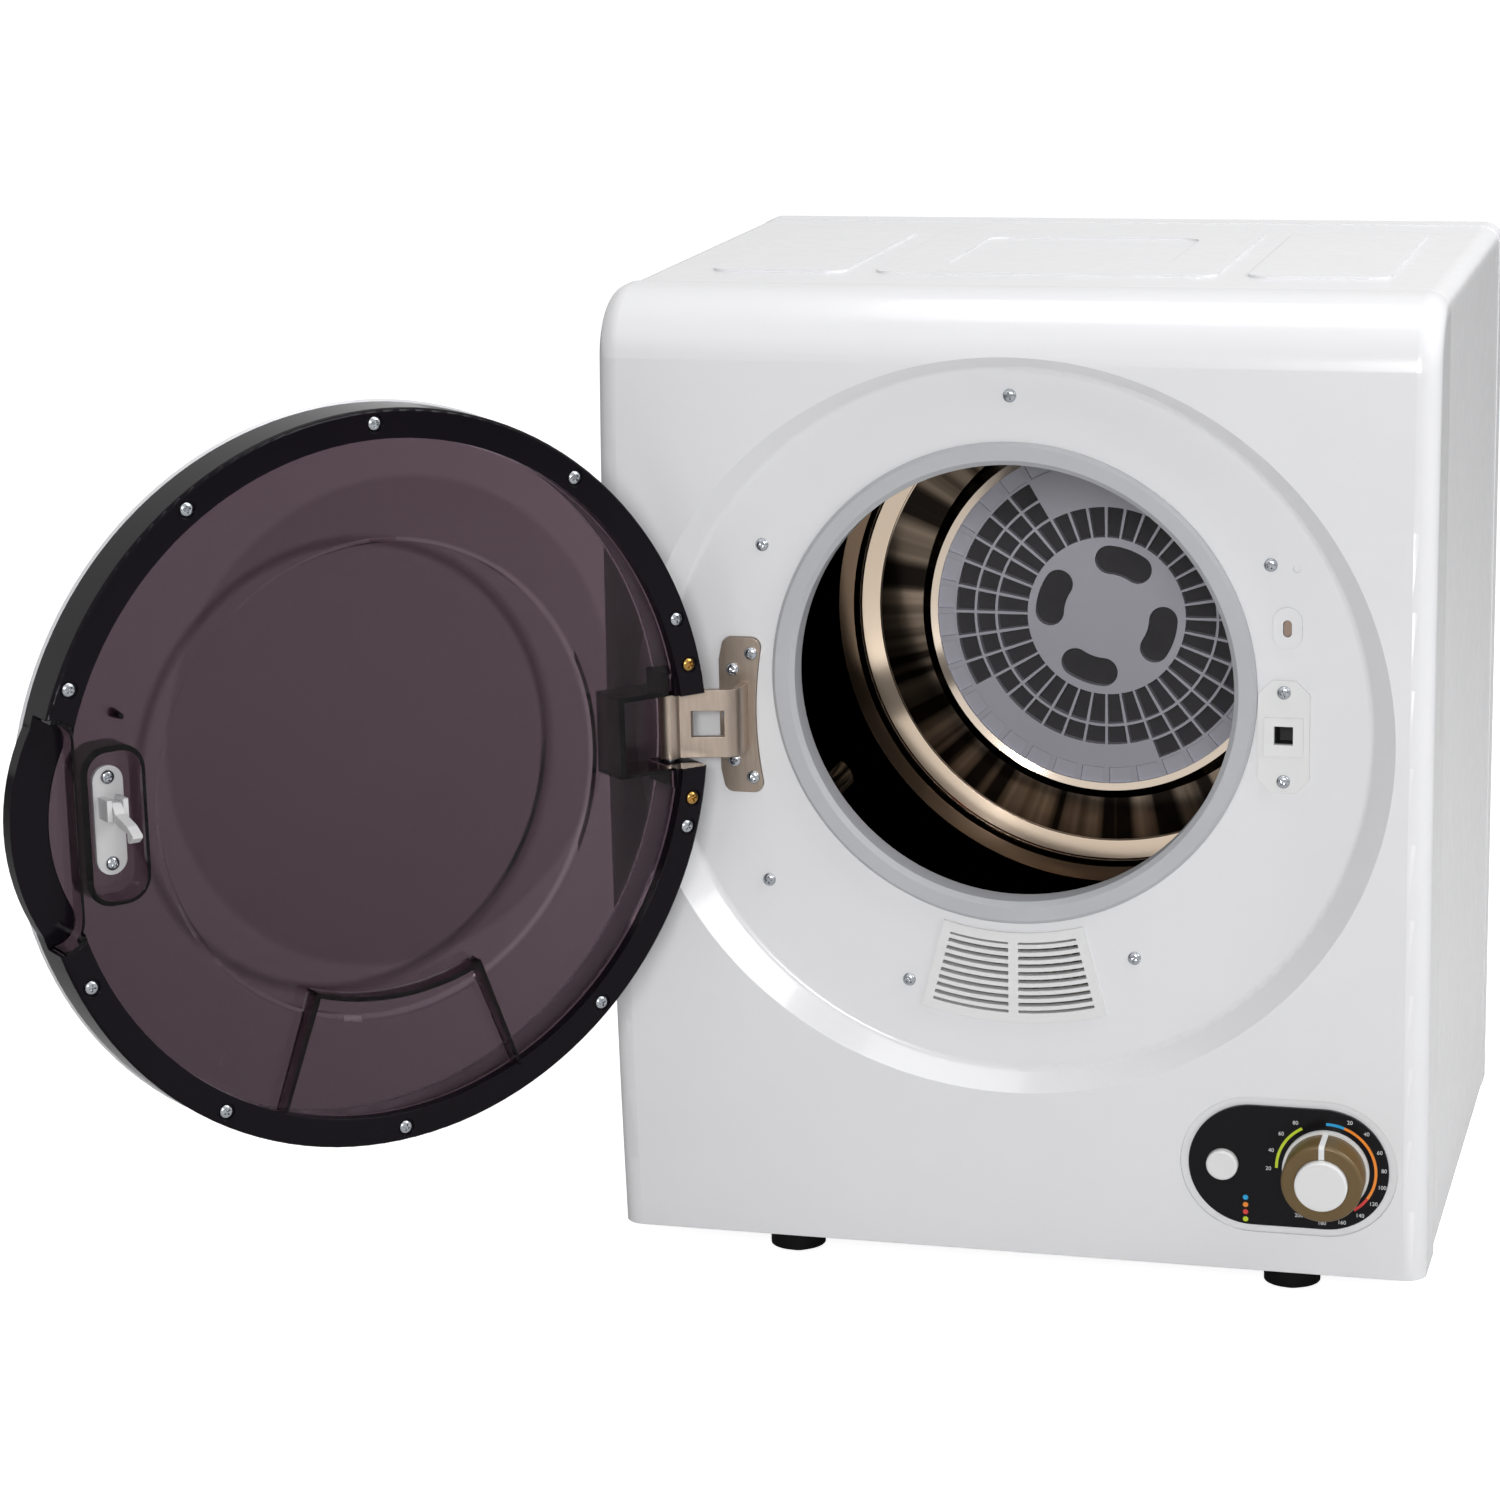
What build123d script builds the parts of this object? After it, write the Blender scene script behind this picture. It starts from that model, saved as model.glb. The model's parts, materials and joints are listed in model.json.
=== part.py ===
from build123d import *
import os
from math import asin, atan, atan2, cos, degrees, hypot, radians, sin, sqrt

# A compact front-loading clothes dryer, in millimetres. +Z is up, the door side faces -Y and +X is
# to the right of somebody standing in front of it. The origin lies on the floor under the middle
# of the cabinet. The door is drawn shut and then swung open to its resting angle.

# Cabinet
side_margin = 20.5
top_margin = 27.0
foot_height = 19.0
edge_radius = 13.0
front_roll_radius = 42.0
sheet = 1.2
side_setback = 1.5
front_panel_depth = 62.0
front_panel_wall = 3.0
front_bow = 12.0
rear_cover_flange = 20.0
emboss_height = 1.5
foot_x = 154.0
foot_shift = 11.0
foot_front_inset = 44.0
foot_back_inset = 44.0
foot_radius = 17.0
foot_tread_radius = 8.5
foot_chamfer = 3.5
foot_stem_radius = 4.0
cord_x = -200.0
cord_z = 150.0
cord_bush_radius = 9.0
louvre_rows = 5
louvre_x = 120.0
louvre_z = 60.0
louvre_pitch = 16.0
louvre_length = 90.0
louvre_width = 6.0
rear_screw_inset = 12.0
slip = 0.3
shaft_play = 0.05

# Round recess in the front, the loading mouth and the bulkhead behind it
recess_margin = 17.0
recess_bevel = 15.0
recess_depth = 19.0
recess_fillet = 5.0
drum_axis_z = 346.0
mouth_rise = 24.0
mouth_radius = 140.0
seal_lip = 5.0
seal_wall = 8.5
seal_proud = 4.0
seal_length = 19.0
felt_thickness = 5.0
bulkhead_margin = 14.0
collar_length = 18.0

# Screws
screw_head_radius = 4.0
screw_head_height = 2.0
screw_shank_radius = 1.9
screw_shank_length = 6.0

# Drum
drum_radius = 200.0
drum_sheet = 1.0
drum_front_gap = 9.0
drum_length = 300.0
bead_height = 3.0
bead_width = 14.0
lifter_height = 22.0
lifter_width = 46.0
lifter_count = 3
back_margin = 29.0
back_ring_width = 10.0
back_ring_height = 6.0
filter_radius = 119.0
filter_seat_width = 5.5
back_dish = 7.0

# Lint filter
cover_thickness = 6.0
cover_hub_radius = 52.0
cover_ring_radii = (74.0, 88.0, 102.0)
cover_rib = 1.8
cover_spokes = 36
finger_hole_radius = 9.5
finger_hole_pitch = 38.0
finger_hole_arc = 15.0
finger_hole_turn = 72.0
cover_rim = 5.0
cover_pocket_depth = 2.5
mesh_thickness = 2.5
cover_blank_plate = (60.0, 120.0)
cover_blank_band = (210.0, 290.0)

# Shaft, spider and rear bearing
shaft_radius = 7.0
spider_hub_radius = 17.0
spider_arm_width = 24.0
spider_arm_thickness = 8.0
bearing_radius = 13.0
spider_hub_proud = 6.0
bulkhead_gap = 6.0
intake_windows = 6
intake_inner = 42.0
intake_outer = 96.0

# Fan and its scroll
fan_radius = 98.0
fan_height = 19.0
fan_blades = 14
fan_pulley_radius = 38.0
fan_gap = 3.0
rear_gap = 3.0
pulley_gap = 2.0
scroll_clearance = 14.0
outlet_radius = 50.0
outlet_wall = 1.5
outlet_step = 3.0
outlet_x = 150.0
outlet_z = 500.0

# Motor and belts
motor_x = 165.0
motor_z = 76.0
motor_radius = 46.0
motor_length = 85.0
motor_front_y = 30.0
motor_shaft_radius = 5.0
motor_pulley_radius = 9.0
motor_fan_pulley_radius = 15.0
belt_width = 8.0
belt_thickness = 2.5
drum_belt_y = 12.0

# Air inlet grille and heater
grille_gap = 2.5
grille_edge = 29.0
grille_top_half = 41.0
grille_bottom_half = 61.0
grille_rows = 10
grille_slot = 2.3
grille_flange = 1.5
heater_depth = 34.0
heater_sheet = 1.0
heater_vent = 5.0
heater_vent_pitch = 10.0
thermostat_radius = 9.0

# Strike and door switch
strike_offset = 20.5
strike_width = 30.0
strike_height = 67.0
strike_thickness = 2.0
strike_hole = 11.0
strike_cup = 20.0
strike_hole_rise = 1.0
latch_bite = 3.0
strike_screw_pitch = 53.0
switch_offset = 1.5
switch_rise = 64.0
switch_slot_width = 5.0
switch_slot_height = 10.0
switch_pad_width = 17.0
switch_pad_height = 25.0
switch_pad_proud = 1.0
dimple_radius = 2.2
dimple_depth = 1.2
peg_radius = 3.0
peg_tip_radius = 1.6
peg_gap = 0.3

# Control fascia, knob and button
fascia_x = 167.0
fascia_z = 87.0
fascia_width = 118.5
fascia_height = 76.0
fascia_thickness = 2.0
fascia_border = 5.0
fascia_sink = 1.4
knob_offset = 22.4
knob_radius = 24.0
knob_height = 22.0
knob_cap_radius = 15.5
knob_cap_height = 4.0
knob_well = 3.0
knob_flange_radius = 25.6
knob_flange_height = 3.0
pointer_width = 3.4
pointer_depth = 1.6
timer_shaft_radius = 3.0
button_offset = -39.0
button_radius = 9.4
button_height = 4.0

# Door
door_overlap = 1.0
rim_width = 17.0
door_gap = 6.5
door_side_depth = 28.5
door_wall = 2.5
pane_sink = 6.0
pane_step_radius = 140.0
pane_step = 2.5
dome_rise = 22.0
window_radius = 131.0
pane_wall = 3.0
door_screw_inset = 8.0
door_screw_angles = (90.5, 56.3, 23.3, -24.9, -57.5, -90.5, -131.0, -163.8, 160.4, 128.6)
counterbore_radius = 5.2
counterbore_depth = 1.2
handle_reach = 7.0
handle_curve = 120.0
handle_half = 66.0
handle_width = 29.0
handle_sink = 18.0
handle_lip = 10.0
handle_band = 22.0
trim_width = 13.0
trim_proud = 1.0
hinge_boss_half = 9.0
duct_rib = 3.0
duct_rib_gap = 2.4
duct_seal_gap = 1.5

# Hinge and latch
hinge_inset = 12.0
hinge_depth = 31.0
hinge_pin_radius = 3.0
hinge_arm_width = 41.0
hinge_arm_thickness = 4.5
hinge_leaf_thickness = 3.0
hinge_leaf_width = 27.0
hinge_leaf_height = 95.0
hinge_leaf_offset = 36.5
hinge_boss_length = 12.0
hinge_barrel_radius = 6.5
door_open_angle = 132.4
latch_width = 18.0
latch_height = 62.0
latch_sink = 18.0
latch_screw_pitch = 49.0
latch_hook_width = 6.0
latch_reach = 9.0
latch_beak = 7.0

# Radii that follow from the drum
collar_radius = drum_radius - felt_thickness
recess_radius = collar_radius + recess_margin
bulkhead_radius = collar_radius + bulkhead_margin
back_ring_radius = drum_radius - back_margin
door_radius = recess_radius + door_overlap
hinge_x = hinge_inset - door_radius
hinge_leaf_x = hinge_x + hinge_leaf_offset
door_screw_circle = door_radius - door_screw_inset
grille_inner_radius = mouth_radius + seal_wall + grille_gap
grille_outer_radius = recess_radius + mouth_rise - grille_edge
strike_x = mouth_radius + strike_offset
switch_x = strike_x + switch_offset

# The cabinet is as large as what it holds
spider_room = sheet + back_dish + 2.0 + spider_arm_thickness + spider_hub_proud + bulkhead_gap
fan_room = 2 * sheet + 2 * fan_gap + fan_height + pulley_gap + belt_width + rear_gap + sheet
front_room = recess_depth + front_panel_wall + sheet + drum_front_gap
cabinet_depth = front_room + drum_length + spider_room + fan_room
cabinet_width = 2 * (recess_radius + recess_bevel + side_margin)
cabinet_height = drum_axis_z + recess_radius + recess_bevel + top_margin

# Heights and depths that follow from the sizes above
y_front = -cabinet_depth / 2
y_back = cabinet_depth / 2
y_seam = y_front + front_panel_depth
y_ring = y_front + recess_depth
y_ring_back = y_ring + front_panel_wall
y_plate = y_ring_back + sheet
y_wrap_end = y_back - rear_cover_flange
mouth_z = drum_axis_z + mouth_rise
base_top = foot_height + sheet
y_drum = y_plate + drum_front_gap
y_drum_back = y_drum + drum_length
y_cover = y_drum_back - 4.0
y_mesh = y_cover + cover_thickness + slip
y_spider = y_mesh + mesh_thickness + slip
y_arm = y_drum_back + sheet + back_dish + 2.0
y_hub_end = y_arm + spider_arm_thickness + spider_hub_proud
y_bulkhead = y_hub_end + bulkhead_gap
y_fan = y_bulkhead + sheet + fan_gap
y_scroll_back = y_fan + fan_height + fan_gap
y_fan_pulley = y_scroll_back + sheet + pulley_gap
y_rim = y_ring - door_gap
y_pane = y_rim - pane_sink
y_dome_edge = y_rim - door_side_depth
hinge_y = y_ring - hinge_depth
wrap_half = cabinet_width / 2 - side_setback


def prism(outline, y_low, y_high):
    """A solid between two depths from an outline drawn looking along +Y."""
    return extrude(Plane.XZ.offset(-y_high) * outline, amount=y_high - y_low)


def spun(points, x=0.0, z=drum_axis_z):
    """A solid of revolution about an axis along Y, from (radius, y) points."""
    face = make_face(Polyline(*points, close=True))
    return Pos(x, 0, z) * revolve(face, Axis.Y, 360)


def ring(inner, outer, y_low, y_high, x=0.0, z=drum_axis_z):
    return spun([(inner, y_low), (outer, y_low), (outer, y_high), (inner, y_high)], x, z)


def disc(radius, y_low, y_high, x=0.0, z=drum_axis_z):
    return prism(Pos(x, z) * Circle(radius), y_low, y_high)


def group(solids):
    """Several like solids kept apart in one piece."""
    return Compound(children=[s.solid() for s in solids])


def section(inset):
    """The cabinet's cross-section: square at the foot, rounded at the top corners."""
    half = cabinet_width / 2 - inset
    top = cabinet_height - inset
    outline = Pos(0, (foot_height + top) / 2) * Rectangle(2 * half, top - foot_height)
    corners = outline.vertices().group_by(Axis.Y)[-1]
    return fillet(corners, edge_radius - inset)


def bowed_block(inset, y_end, z_low=foot_height):
    """The front moulding's outer form, or its hollow when inset by the wall."""
    half = cabinet_width / 2 - inset
    high = cabinet_height - inset
    face = y_front + inset
    middle = (foot_height + cabinet_height) / 2
    bow_low = face + front_bow * ((middle - z_low) / (cabinet_height - middle)) ** 2
    bow_high = face + front_bow * ((high - middle) / (cabinet_height - middle)) ** 2
    outline = make_face(
        [
            ThreePointArc((bow_low, z_low), (face, middle), (bow_high, high)),
            Polyline((bow_high, high), (y_end, high), (y_end, z_low), (bow_low, z_low)),
        ]
    )
    brow = outline.vertices().sort_by_distance((bow_high, high))[0]
    outline = fillet(brow, front_roll_radius - inset)
    block = extrude(Plane.YZ * outline, amount=half, both=True)
    rounded = block.edges().filter_by(GeomType.CIRCLE)
    rounded += block.edges().filter_by(Axis.Y).group_by(Axis.Z)[-1]
    return fillet(rounded, edge_radius - inset)


def recess_form(grow):
    """The round recess in the front: a flat floor, a filleted foot and a bevelled side."""
    slope = recess_bevel / recess_depth
    floor = y_ring + grow
    reach = recess_depth + grow + 6.0
    face = make_face(
        Polyline(
            (0, floor),
            (recess_radius + grow, floor),
            (recess_radius + grow + slope * reach, floor - reach),
            (0, floor - reach),
            close=True,
        )
    )
    foot = face.vertices().sort_by_distance((recess_radius + grow, floor))[0]
    face = fillet(foot, recess_fillet + grow)
    return Pos(0, 0, drum_axis_z) * revolve(face, Axis.Y, 360)


def screw(length=screw_shank_length):
    """A pan-head screw seen end on: its head stands on the XY plane, its shank goes down."""
    profile = make_face(
        Polyline(
            (0, -length),
            (screw_shank_radius, -length),
            (screw_shank_radius, 0),
            (screw_head_radius, 0),
            (screw_head_radius, screw_head_height * 0.45),
            (screw_head_radius * 0.6, screw_head_height),
            (0, screw_head_height),
            close=True,
        )
    )
    return revolve(Plane.XZ * profile, Axis.Z, 360)


def front_screw(x, y, z, length=screw_shank_length):
    """A screw driven into a face that looks towards the front."""
    return Pos(x, y, z) * Rot(90, 0, 0) * screw(length)


def screw_hole(x, z, y_low, y_high):
    return disc(screw_shank_radius + shaft_play, y_low, y_high, x, z)


# Where things are fixed on the recess floor, as (x, z)
ring_screw_places = (
    [(0.0, drum_axis_z + recess_radius - 16.0), (-150.0, drum_axis_z + 104.0), (-150.0, drum_axis_z - 102.0)]
    + [(-64.0, drum_axis_z - 160.0), (73.0, drum_axis_z - 139.0), (152.0, drum_axis_z + 101.0)]
)
hinge_screw_places = [
    (hinge_leaf_x + 6.5, drum_axis_z + 38.0),
    (hinge_leaf_x - 5.0, drum_axis_z + 28.0),
    (hinge_leaf_x - 5.0, drum_axis_z - 28.0),
    (hinge_leaf_x + 6.5, drum_axis_z - 38.0),
    (hinge_leaf_x - 8.0, drum_axis_z),
]
strike_screw_places = [
    (strike_x, drum_axis_z + side * strike_screw_pitch / 2) for side in (1, -1)
]
rear_screw_places = [
    (side * (wrap_half - rear_screw_inset), z)
    for side in (-1, 1)
    for z in (foot_height + 30.0, (foot_height + cabinet_height) / 2, cabinet_height - 40.0)
]
foot_places = [
    (foot_shift + side * foot_x, y)
    for side in (-1, 1)
    for y in (y_front + foot_front_inset, y_wrap_end - foot_back_inset)
]


def strike_outline():
    """An upright octagon: a rectangle with long chamfered ends."""
    plate = Pos(strike_x, drum_axis_z) * Rectangle(strike_width, strike_height)
    return chamfer(plate.vertices(), strike_width * 0.27)


def leaf_outline(grow=0.0):
    """The hinge leaf: tall, round-cornered and waisted on the side of the loading mouth."""
    half = hinge_leaf_height / 2 + grow
    left = hinge_leaf_x - hinge_leaf_width / 2 - grow
    right = hinge_leaf_x + hinge_leaf_width / 2 + grow
    waist = right - 5.0
    face = make_face(
        [
            Polyline((right, half), (left + 3.0, half), (left, half - 14.0), (left, 14.0 - half)),
            Polyline((left, 14.0 - half), (left + 3.0, -half), (right, -half)),
            ThreePointArc((right, -half), (waist, 0), (right, half)),
        ]
    )
    corners = face.vertices().group_by(Axis.Y)
    face = fillet(corners[0] + corners[-1], 6.0)
    return Pos(0, drum_axis_z) * face


def grille_outline(grow=0.0):
    """A sector of a ring about the mouth's centre, cut off by two flaring sides."""
    band = Circle(grille_outer_radius + grow) - Circle(grille_inner_radius - grow)
    wedge = make_face(
        Polyline(
            (-grille_top_half - grow, 1 - grille_inner_radius * 0.94),
            (grille_top_half + grow, 1 - grille_inner_radius * 0.94),
            (grille_bottom_half + grow, -grille_outer_radius - 9.0),
            (-grille_bottom_half - grow, -grille_outer_radius - 9.0),
            close=True,
        )
    )
    return Pos(0, mouth_z) * (band & wedge)


def switch_place():
    return switch_x, drum_axis_z + switch_rise


def front_face_y(z):
    """Depth of the bowed front face at a height."""
    middle = (foot_height + cabinet_height) / 2
    half = (cabinet_height - foot_height) / 2
    radius = (half**2 + front_bow**2) / (2 * front_bow)
    return y_front + radius - sqrt(radius**2 - (z - middle) ** 2)


# The fascia lies on the bowed face, so its own frame leans with it: Z points out of the front.
bow_step = 1.0
bow_fall = front_face_y(fascia_z - bow_step) - front_face_y(fascia_z + bow_step)
fascia_lean = atan(bow_fall / (2 * bow_step))
fascia_plane = Plane(
    origin=(fascia_x, front_face_y(fascia_z), fascia_z),
    x_dir=(1, 0, 0),
    z_dir=(0, -cos(fascia_lean), -sin(fascia_lean)),
)
fascia_floor = -fascia_sink
fascia_face = fascia_floor + fascia_thickness
panel_back = -front_panel_wall - slip


def on_fascia(outline, low, high):
    """A solid standing on the fascia between two heights over the front face."""
    return extrude(fascia_plane.offset(low) * outline, amount=high - low)


def stadium(width, height):
    return SlotOverall(width, height)


def make_front_panel():
    """The bowed front moulding, with the recess, the loading mouth and every aperture in it."""
    panel = bowed_block(0, y_seam) - recess_form(0)
    hollow = bowed_block(front_panel_wall, y_seam + 1.0, foot_height - 1.0)
    panel -= hollow - recess_form(front_panel_wall)
    panel -= disc(mouth_radius, y_ring - 1, y_ring_back + 1, 0, mouth_z)
    panel -= prism(grille_outline(-3.0), y_ring - 1, y_ring_back + 1)
    panel -= prism(
        Pos(strike_x, drum_axis_z) * Rectangle(strike_cup + 2 * slip, strike_cup + 2 * slip),
        y_ring - 1,
        y_ring_back + 1,
    )
    pad = Pos(*switch_place()) * Rot(0, 0, 90) * SlotOverall(switch_pad_height, switch_pad_width)
    panel += prism(pad, y_ring - switch_pad_proud, y_ring)
    slot = Pos(*switch_place()) * Rot(0, 0, 90) * SlotOverall(switch_slot_height, switch_slot_width)
    panel -= prism(slot, y_ring - switch_pad_proud - 1, y_ring_back + 1)
    x, z = ring_screw_places[-1]
    panel -= disc(dimple_radius, y_ring - 1, y_ring + dimple_depth, x + 15.0, z - 2.0)
    panel -= prism(leaf_outline(slip), y_ring - 1, y_ring + 1.0)
    for x, z in ring_screw_places + hinge_screw_places + strike_screw_places:
        panel -= screw_hole(x, z, y_ring - 1, y_ring_back + 1)
    border = stadium(fascia_width + 2 * fascia_border, fascia_height + 2 * fascia_border)
    panel -= on_fascia(border, fascia_floor, 8.0)
    panel -= on_fascia(Pos(knob_offset, 0) * Circle(timer_shaft_radius + 2.0), -8.0, 2.0)
    panel -= on_fascia(Pos(button_offset, 0) * Circle(button_radius + slip), -8.0, 2.0)
    return panel


def make_front_bulkhead():
    """A steel disc behind the recess, with the round collar that the drum's front edge turns on."""
    plate = disc(bulkhead_radius, y_ring_back, y_plate)
    plate += ring(collar_radius - sheet, collar_radius, y_plate, y_plate + collar_length)
    plate -= disc(mouth_radius, y_ring_back - 1, y_plate + 1, 0, mouth_z)
    plate -= prism(grille_outline(-3.0), y_ring_back - 1, y_plate + 1)
    cup = Pos(strike_x, drum_axis_z) * Rectangle(strike_cup + 2 * slip, strike_cup + 2 * slip)
    plate -= prism(cup, y_ring_back - 1, y_plate + 1)
    slot = Pos(*switch_place()) * Rot(0, 0, 90) * SlotOverall(switch_slot_height, switch_slot_width)
    plate -= prism(slot, y_ring_back - 1, y_plate + 1)
    for x, z in ring_screw_places + hinge_screw_places + strike_screw_places:
        plate -= screw_hole(x, z, y_ring_back - 1, y_plate + 1)
    return plate


def make_drum_felt():
    """The felt band round the collar, under the drum's front edge."""
    return ring(collar_radius, drum_radius - slip, y_plate + 2.0, y_plate + collar_length)


def make_mouth_seal():
    """The soft grey ring pushed over the edge of the loading mouth."""
    inner = mouth_radius - seal_wall
    outer = mouth_radius + seal_lip
    front = y_ring - seal_proud
    back = front + seal_length
    profile = Polyline(
        (inner, back),
        (inner, front + 3.0),
        (inner + 3.0, front),
        (outer - 2.0, front),
        (outer, front + 2.0),
        (outer, y_ring),
        (mouth_radius - slip, y_ring),
        (mouth_radius - slip, back),
        close=True,
    )
    return Pos(0, 0, mouth_z) * revolve(make_face(profile), Axis.Y, 360)


def make_cabinet_wrap():
    """One folded sheet: both sides and the top, with pressed fields in the top."""
    inner = side_setback + sheet
    wrap = prism(section(side_setback) - section(inner), y_seam, y_wrap_end)
    middle_y = (y_seam + y_wrap_end) / 2
    field_depth = (y_wrap_end - y_seam) * 0.66
    top = cabinet_height - side_setback
    centre_width = cabinet_width * 0.42
    side_width = cabinet_width * 0.17
    side_x = centre_width / 2 + side_width / 2 + 18.0
    fields = [(0.0, centre_width, 1), (side_x, side_width, 1), (-side_x, side_width, 1)]
    fields += [(0.0, centre_width - 70.0, -1)]
    for x, width, way in fields:
        depth = field_depth if way > 0 else field_depth - 70.0
        outer = Pos(x, middle_y) * RectangleRounded(width, depth, 12.0)
        inside = Pos(x, middle_y) * RectangleRounded(width - 2 * sheet, depth - 2 * sheet, 11.0)
        if way > 0:
            wrap += extrude(Pos(0, 0, top) * outer, amount=emboss_height)
            wrap -= extrude(Pos(0, 0, top - sheet) * inside, amount=emboss_height)
        else:
            wrap -= extrude(Pos(0, 0, top) * inside, amount=emboss_height)
            wrap += extrude(Pos(0, 0, top - sheet) * outer, amount=emboss_height)
    return wrap


def make_rear_cover():
    """The back pan, with louvres, the cord bush's hole and the exhaust outlet."""
    inset = side_setback - 0.5
    shell = prism(section(inset), y_wrap_end, y_back)
    above_pan = Pos(0, cabinet_height) * Rectangle(2 * cabinet_width, 2 * (cabinet_height - base_top))
    room = section(inset + sheet) & above_pan
    shell -= prism(room, y_wrap_end - 1, y_back - sheet)
    shell -= disc(outlet_radius + outlet_wall + slip, y_back - 5, y_back + 1, outlet_x, outlet_z)
    shell -= disc(cord_bush_radius, y_back - 5, y_back + 1, cord_x, cord_z)
    for row in range(louvre_rows):
        for side in (-1, 1):
            slot = SlotOverall(louvre_length, louvre_width)
            slot = Pos(side * louvre_x, louvre_z + louvre_pitch * row) * slot
            shell -= prism(slot, y_back - 5, y_back + 1)
    for x, z in rear_screw_places:
        shell -= screw_hole(x, z, y_back - 5, y_back + 1)
    return shell


def make_cord_bush():
    """The round bush in the back that a mains cord comes through."""
    return spun(
        [
            (4.0, y_back - 8.0),
            (cord_bush_radius - shaft_play, y_back - 8.0),
            (cord_bush_radius - shaft_play, y_back),
            (cord_bush_radius + 4.0, y_back),
            (cord_bush_radius + 2.5, y_back + 3.0),
            (4.0, y_back + 3.0),
        ],
        cord_x,
        cord_z,
    )


def make_base_pan():
    """The floor of the cabinet, turned up at both sides."""
    length = y_wrap_end - y_front
    middle = (y_wrap_end + y_front) / 2
    width = cabinet_width - 2 * front_panel_wall
    pan = Pos(0, middle, foot_height + sheet / 2) * Box(width, length, sheet)
    for side in (-1, 1):
        pan += Pos(side * (width / 2 - sheet / 2), (y_seam + y_wrap_end) / 2, base_top + 12.0) * Box(
            sheet, y_wrap_end - y_seam, 24.0
        )
    pan &= bowed_block(front_panel_wall, y_wrap_end, foot_height - 1.0)
    for x, y in foot_places:
        pan -= Pos(x, y, foot_height) * Cylinder(foot_stem_radius + shaft_play, 6.0)
    return pan


def make_feet():
    """Four tapered rubber feet, each with a stem pushed through the base pan."""
    foot = revolve(
        Plane.XZ
        * make_face(
            Polyline(
                (0, 0),
                (foot_tread_radius, 0),
                (foot_radius, foot_chamfer),
                (foot_radius, foot_height),
                (foot_stem_radius, foot_height),
                (foot_stem_radius, base_top + 3.0),
                (0, base_top + 3.0),
                close=True,
            )
        ),
        Axis.Z,
        360,
    )
    return group([Pos(x, y, 0) * foot for x, y in foot_places])


def make_ring_screws():
    length = front_panel_wall + sheet
    return group([front_screw(x, y_ring, z, length) for x, z in ring_screw_places])


def make_strike_screws():
    return group([front_screw(x, y_ring - strike_thickness, z, 8.0) for x, z in strike_screw_places])


def make_hinge_screws():
    leaf_face = y_ring + 1.0 - hinge_leaf_thickness
    return group([front_screw(x, leaf_face, z, 8.0) for x, z in hinge_screw_places])


def make_rear_screws():
    return group([Pos(x, y_back, z) * Rot(-90, 0, 0) * screw(3.0) for x, z in rear_screw_places])


def make_air_grille():
    """The inlet grille under the mouth: rows of curved slots either side of a middle bar."""
    body = prism(grille_outline(), y_ring - grille_flange, y_ring)
    body += prism(grille_outline(-3.0 - slip), y_ring, y_plate)
    pitch = (grille_outer_radius - grille_inner_radius - 8.0) / grille_rows
    slots = Sketch()
    for row in range(grille_rows):
        inner = grille_inner_radius + 5.0 + pitch * row
        slots += Pos(0, mouth_z) * (Circle(inner + grille_slot) - Circle(inner))
    slots &= grille_outline(-6.0)
    slots -= Pos(0, mouth_z - grille_outer_radius) * Rectangle(6.0, 200.0)
    return body - prism(slots, y_ring - 5, y_plate + 1)


def make_strike_plate():
    """The latch's strike: an octagonal plate with a raised square round a blind cup."""
    plate = prism(strike_outline(), y_ring - strike_thickness, y_ring)
    place = Pos(strike_x, drum_axis_z)
    bezel = place * Rectangle(strike_cup + 3.0, strike_cup + 3.0)
    plate += prism(bezel, y_ring - strike_thickness - 1.0, y_ring - strike_thickness)
    plate += prism(place * Rectangle(strike_cup, strike_cup), y_ring, y_plate + strike_cup)
    middle = drum_axis_z + strike_hole_rise
    hole = Pos(strike_x, middle) * Rectangle(strike_hole, strike_hole)
    plate -= prism(hole, y_ring - 10, y_plate + strike_cup - 2.0)
    room = Rectangle(strike_hole, strike_hole + latch_bite + 1.0)
    room = Pos(strike_x, middle - (latch_bite - 1.0) / 2) * room
    plate -= prism(room, y_ring + 1.0, y_plate + strike_cup - 2.0)
    for x, z in strike_screw_places:
        plate -= screw_hole(x, z, y_ring - 10, y_ring + 1)
    return plate


def make_door_switch():
    """The switch behind the recess floor that the door's peg works."""
    x, z = switch_place()
    body = prism(Pos(x, z) * Rectangle(16.0, 26.0), y_plate, y_plate + 14.0)
    way = Pos(x, z) * Rot(0, 0, 90) * SlotOverall(switch_slot_height, switch_slot_width)
    return body - prism(way, y_plate - 1, y_plate + 11.0)


def make_switch_plunger():
    x, z = switch_place()
    tongue = Rot(0, 0, 90) * SlotOverall(switch_slot_height - 2 * slip, switch_slot_width - 2 * slip)
    return prism(Pos(x, z) * tongue, y_ring + peg_gap, y_plate + 6.0)


def make_heater_box():
    """The sheet shroud behind the grille, open at the front and slotted at the back."""
    outer = grille_outline(5.0)
    inner = grille_outline(5.0 - heater_sheet)
    box = prism(outer, y_plate, y_plate + heater_depth)
    box -= prism(inner, y_plate - 1, y_plate + heater_depth - heater_sheet)
    span = grille_outer_radius - grille_inner_radius - 16.0
    for row in range(int(span / heater_vent_pitch)):
        reach = grille_inner_radius + 9.0 + heater_vent_pitch * row
        vent = Pos(0, mouth_z) * (Circle(reach + heater_vent) - Circle(reach))
        vent &= grille_outline(-8.0)
        vent -= Pos(0, mouth_z - grille_outer_radius) * Rectangle(2 * thermostat_radius + 6.0, 200.0)
        box -= prism(vent, y_plate + heater_depth - 5.0, y_plate + heater_depth + 1)
    return box


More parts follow.
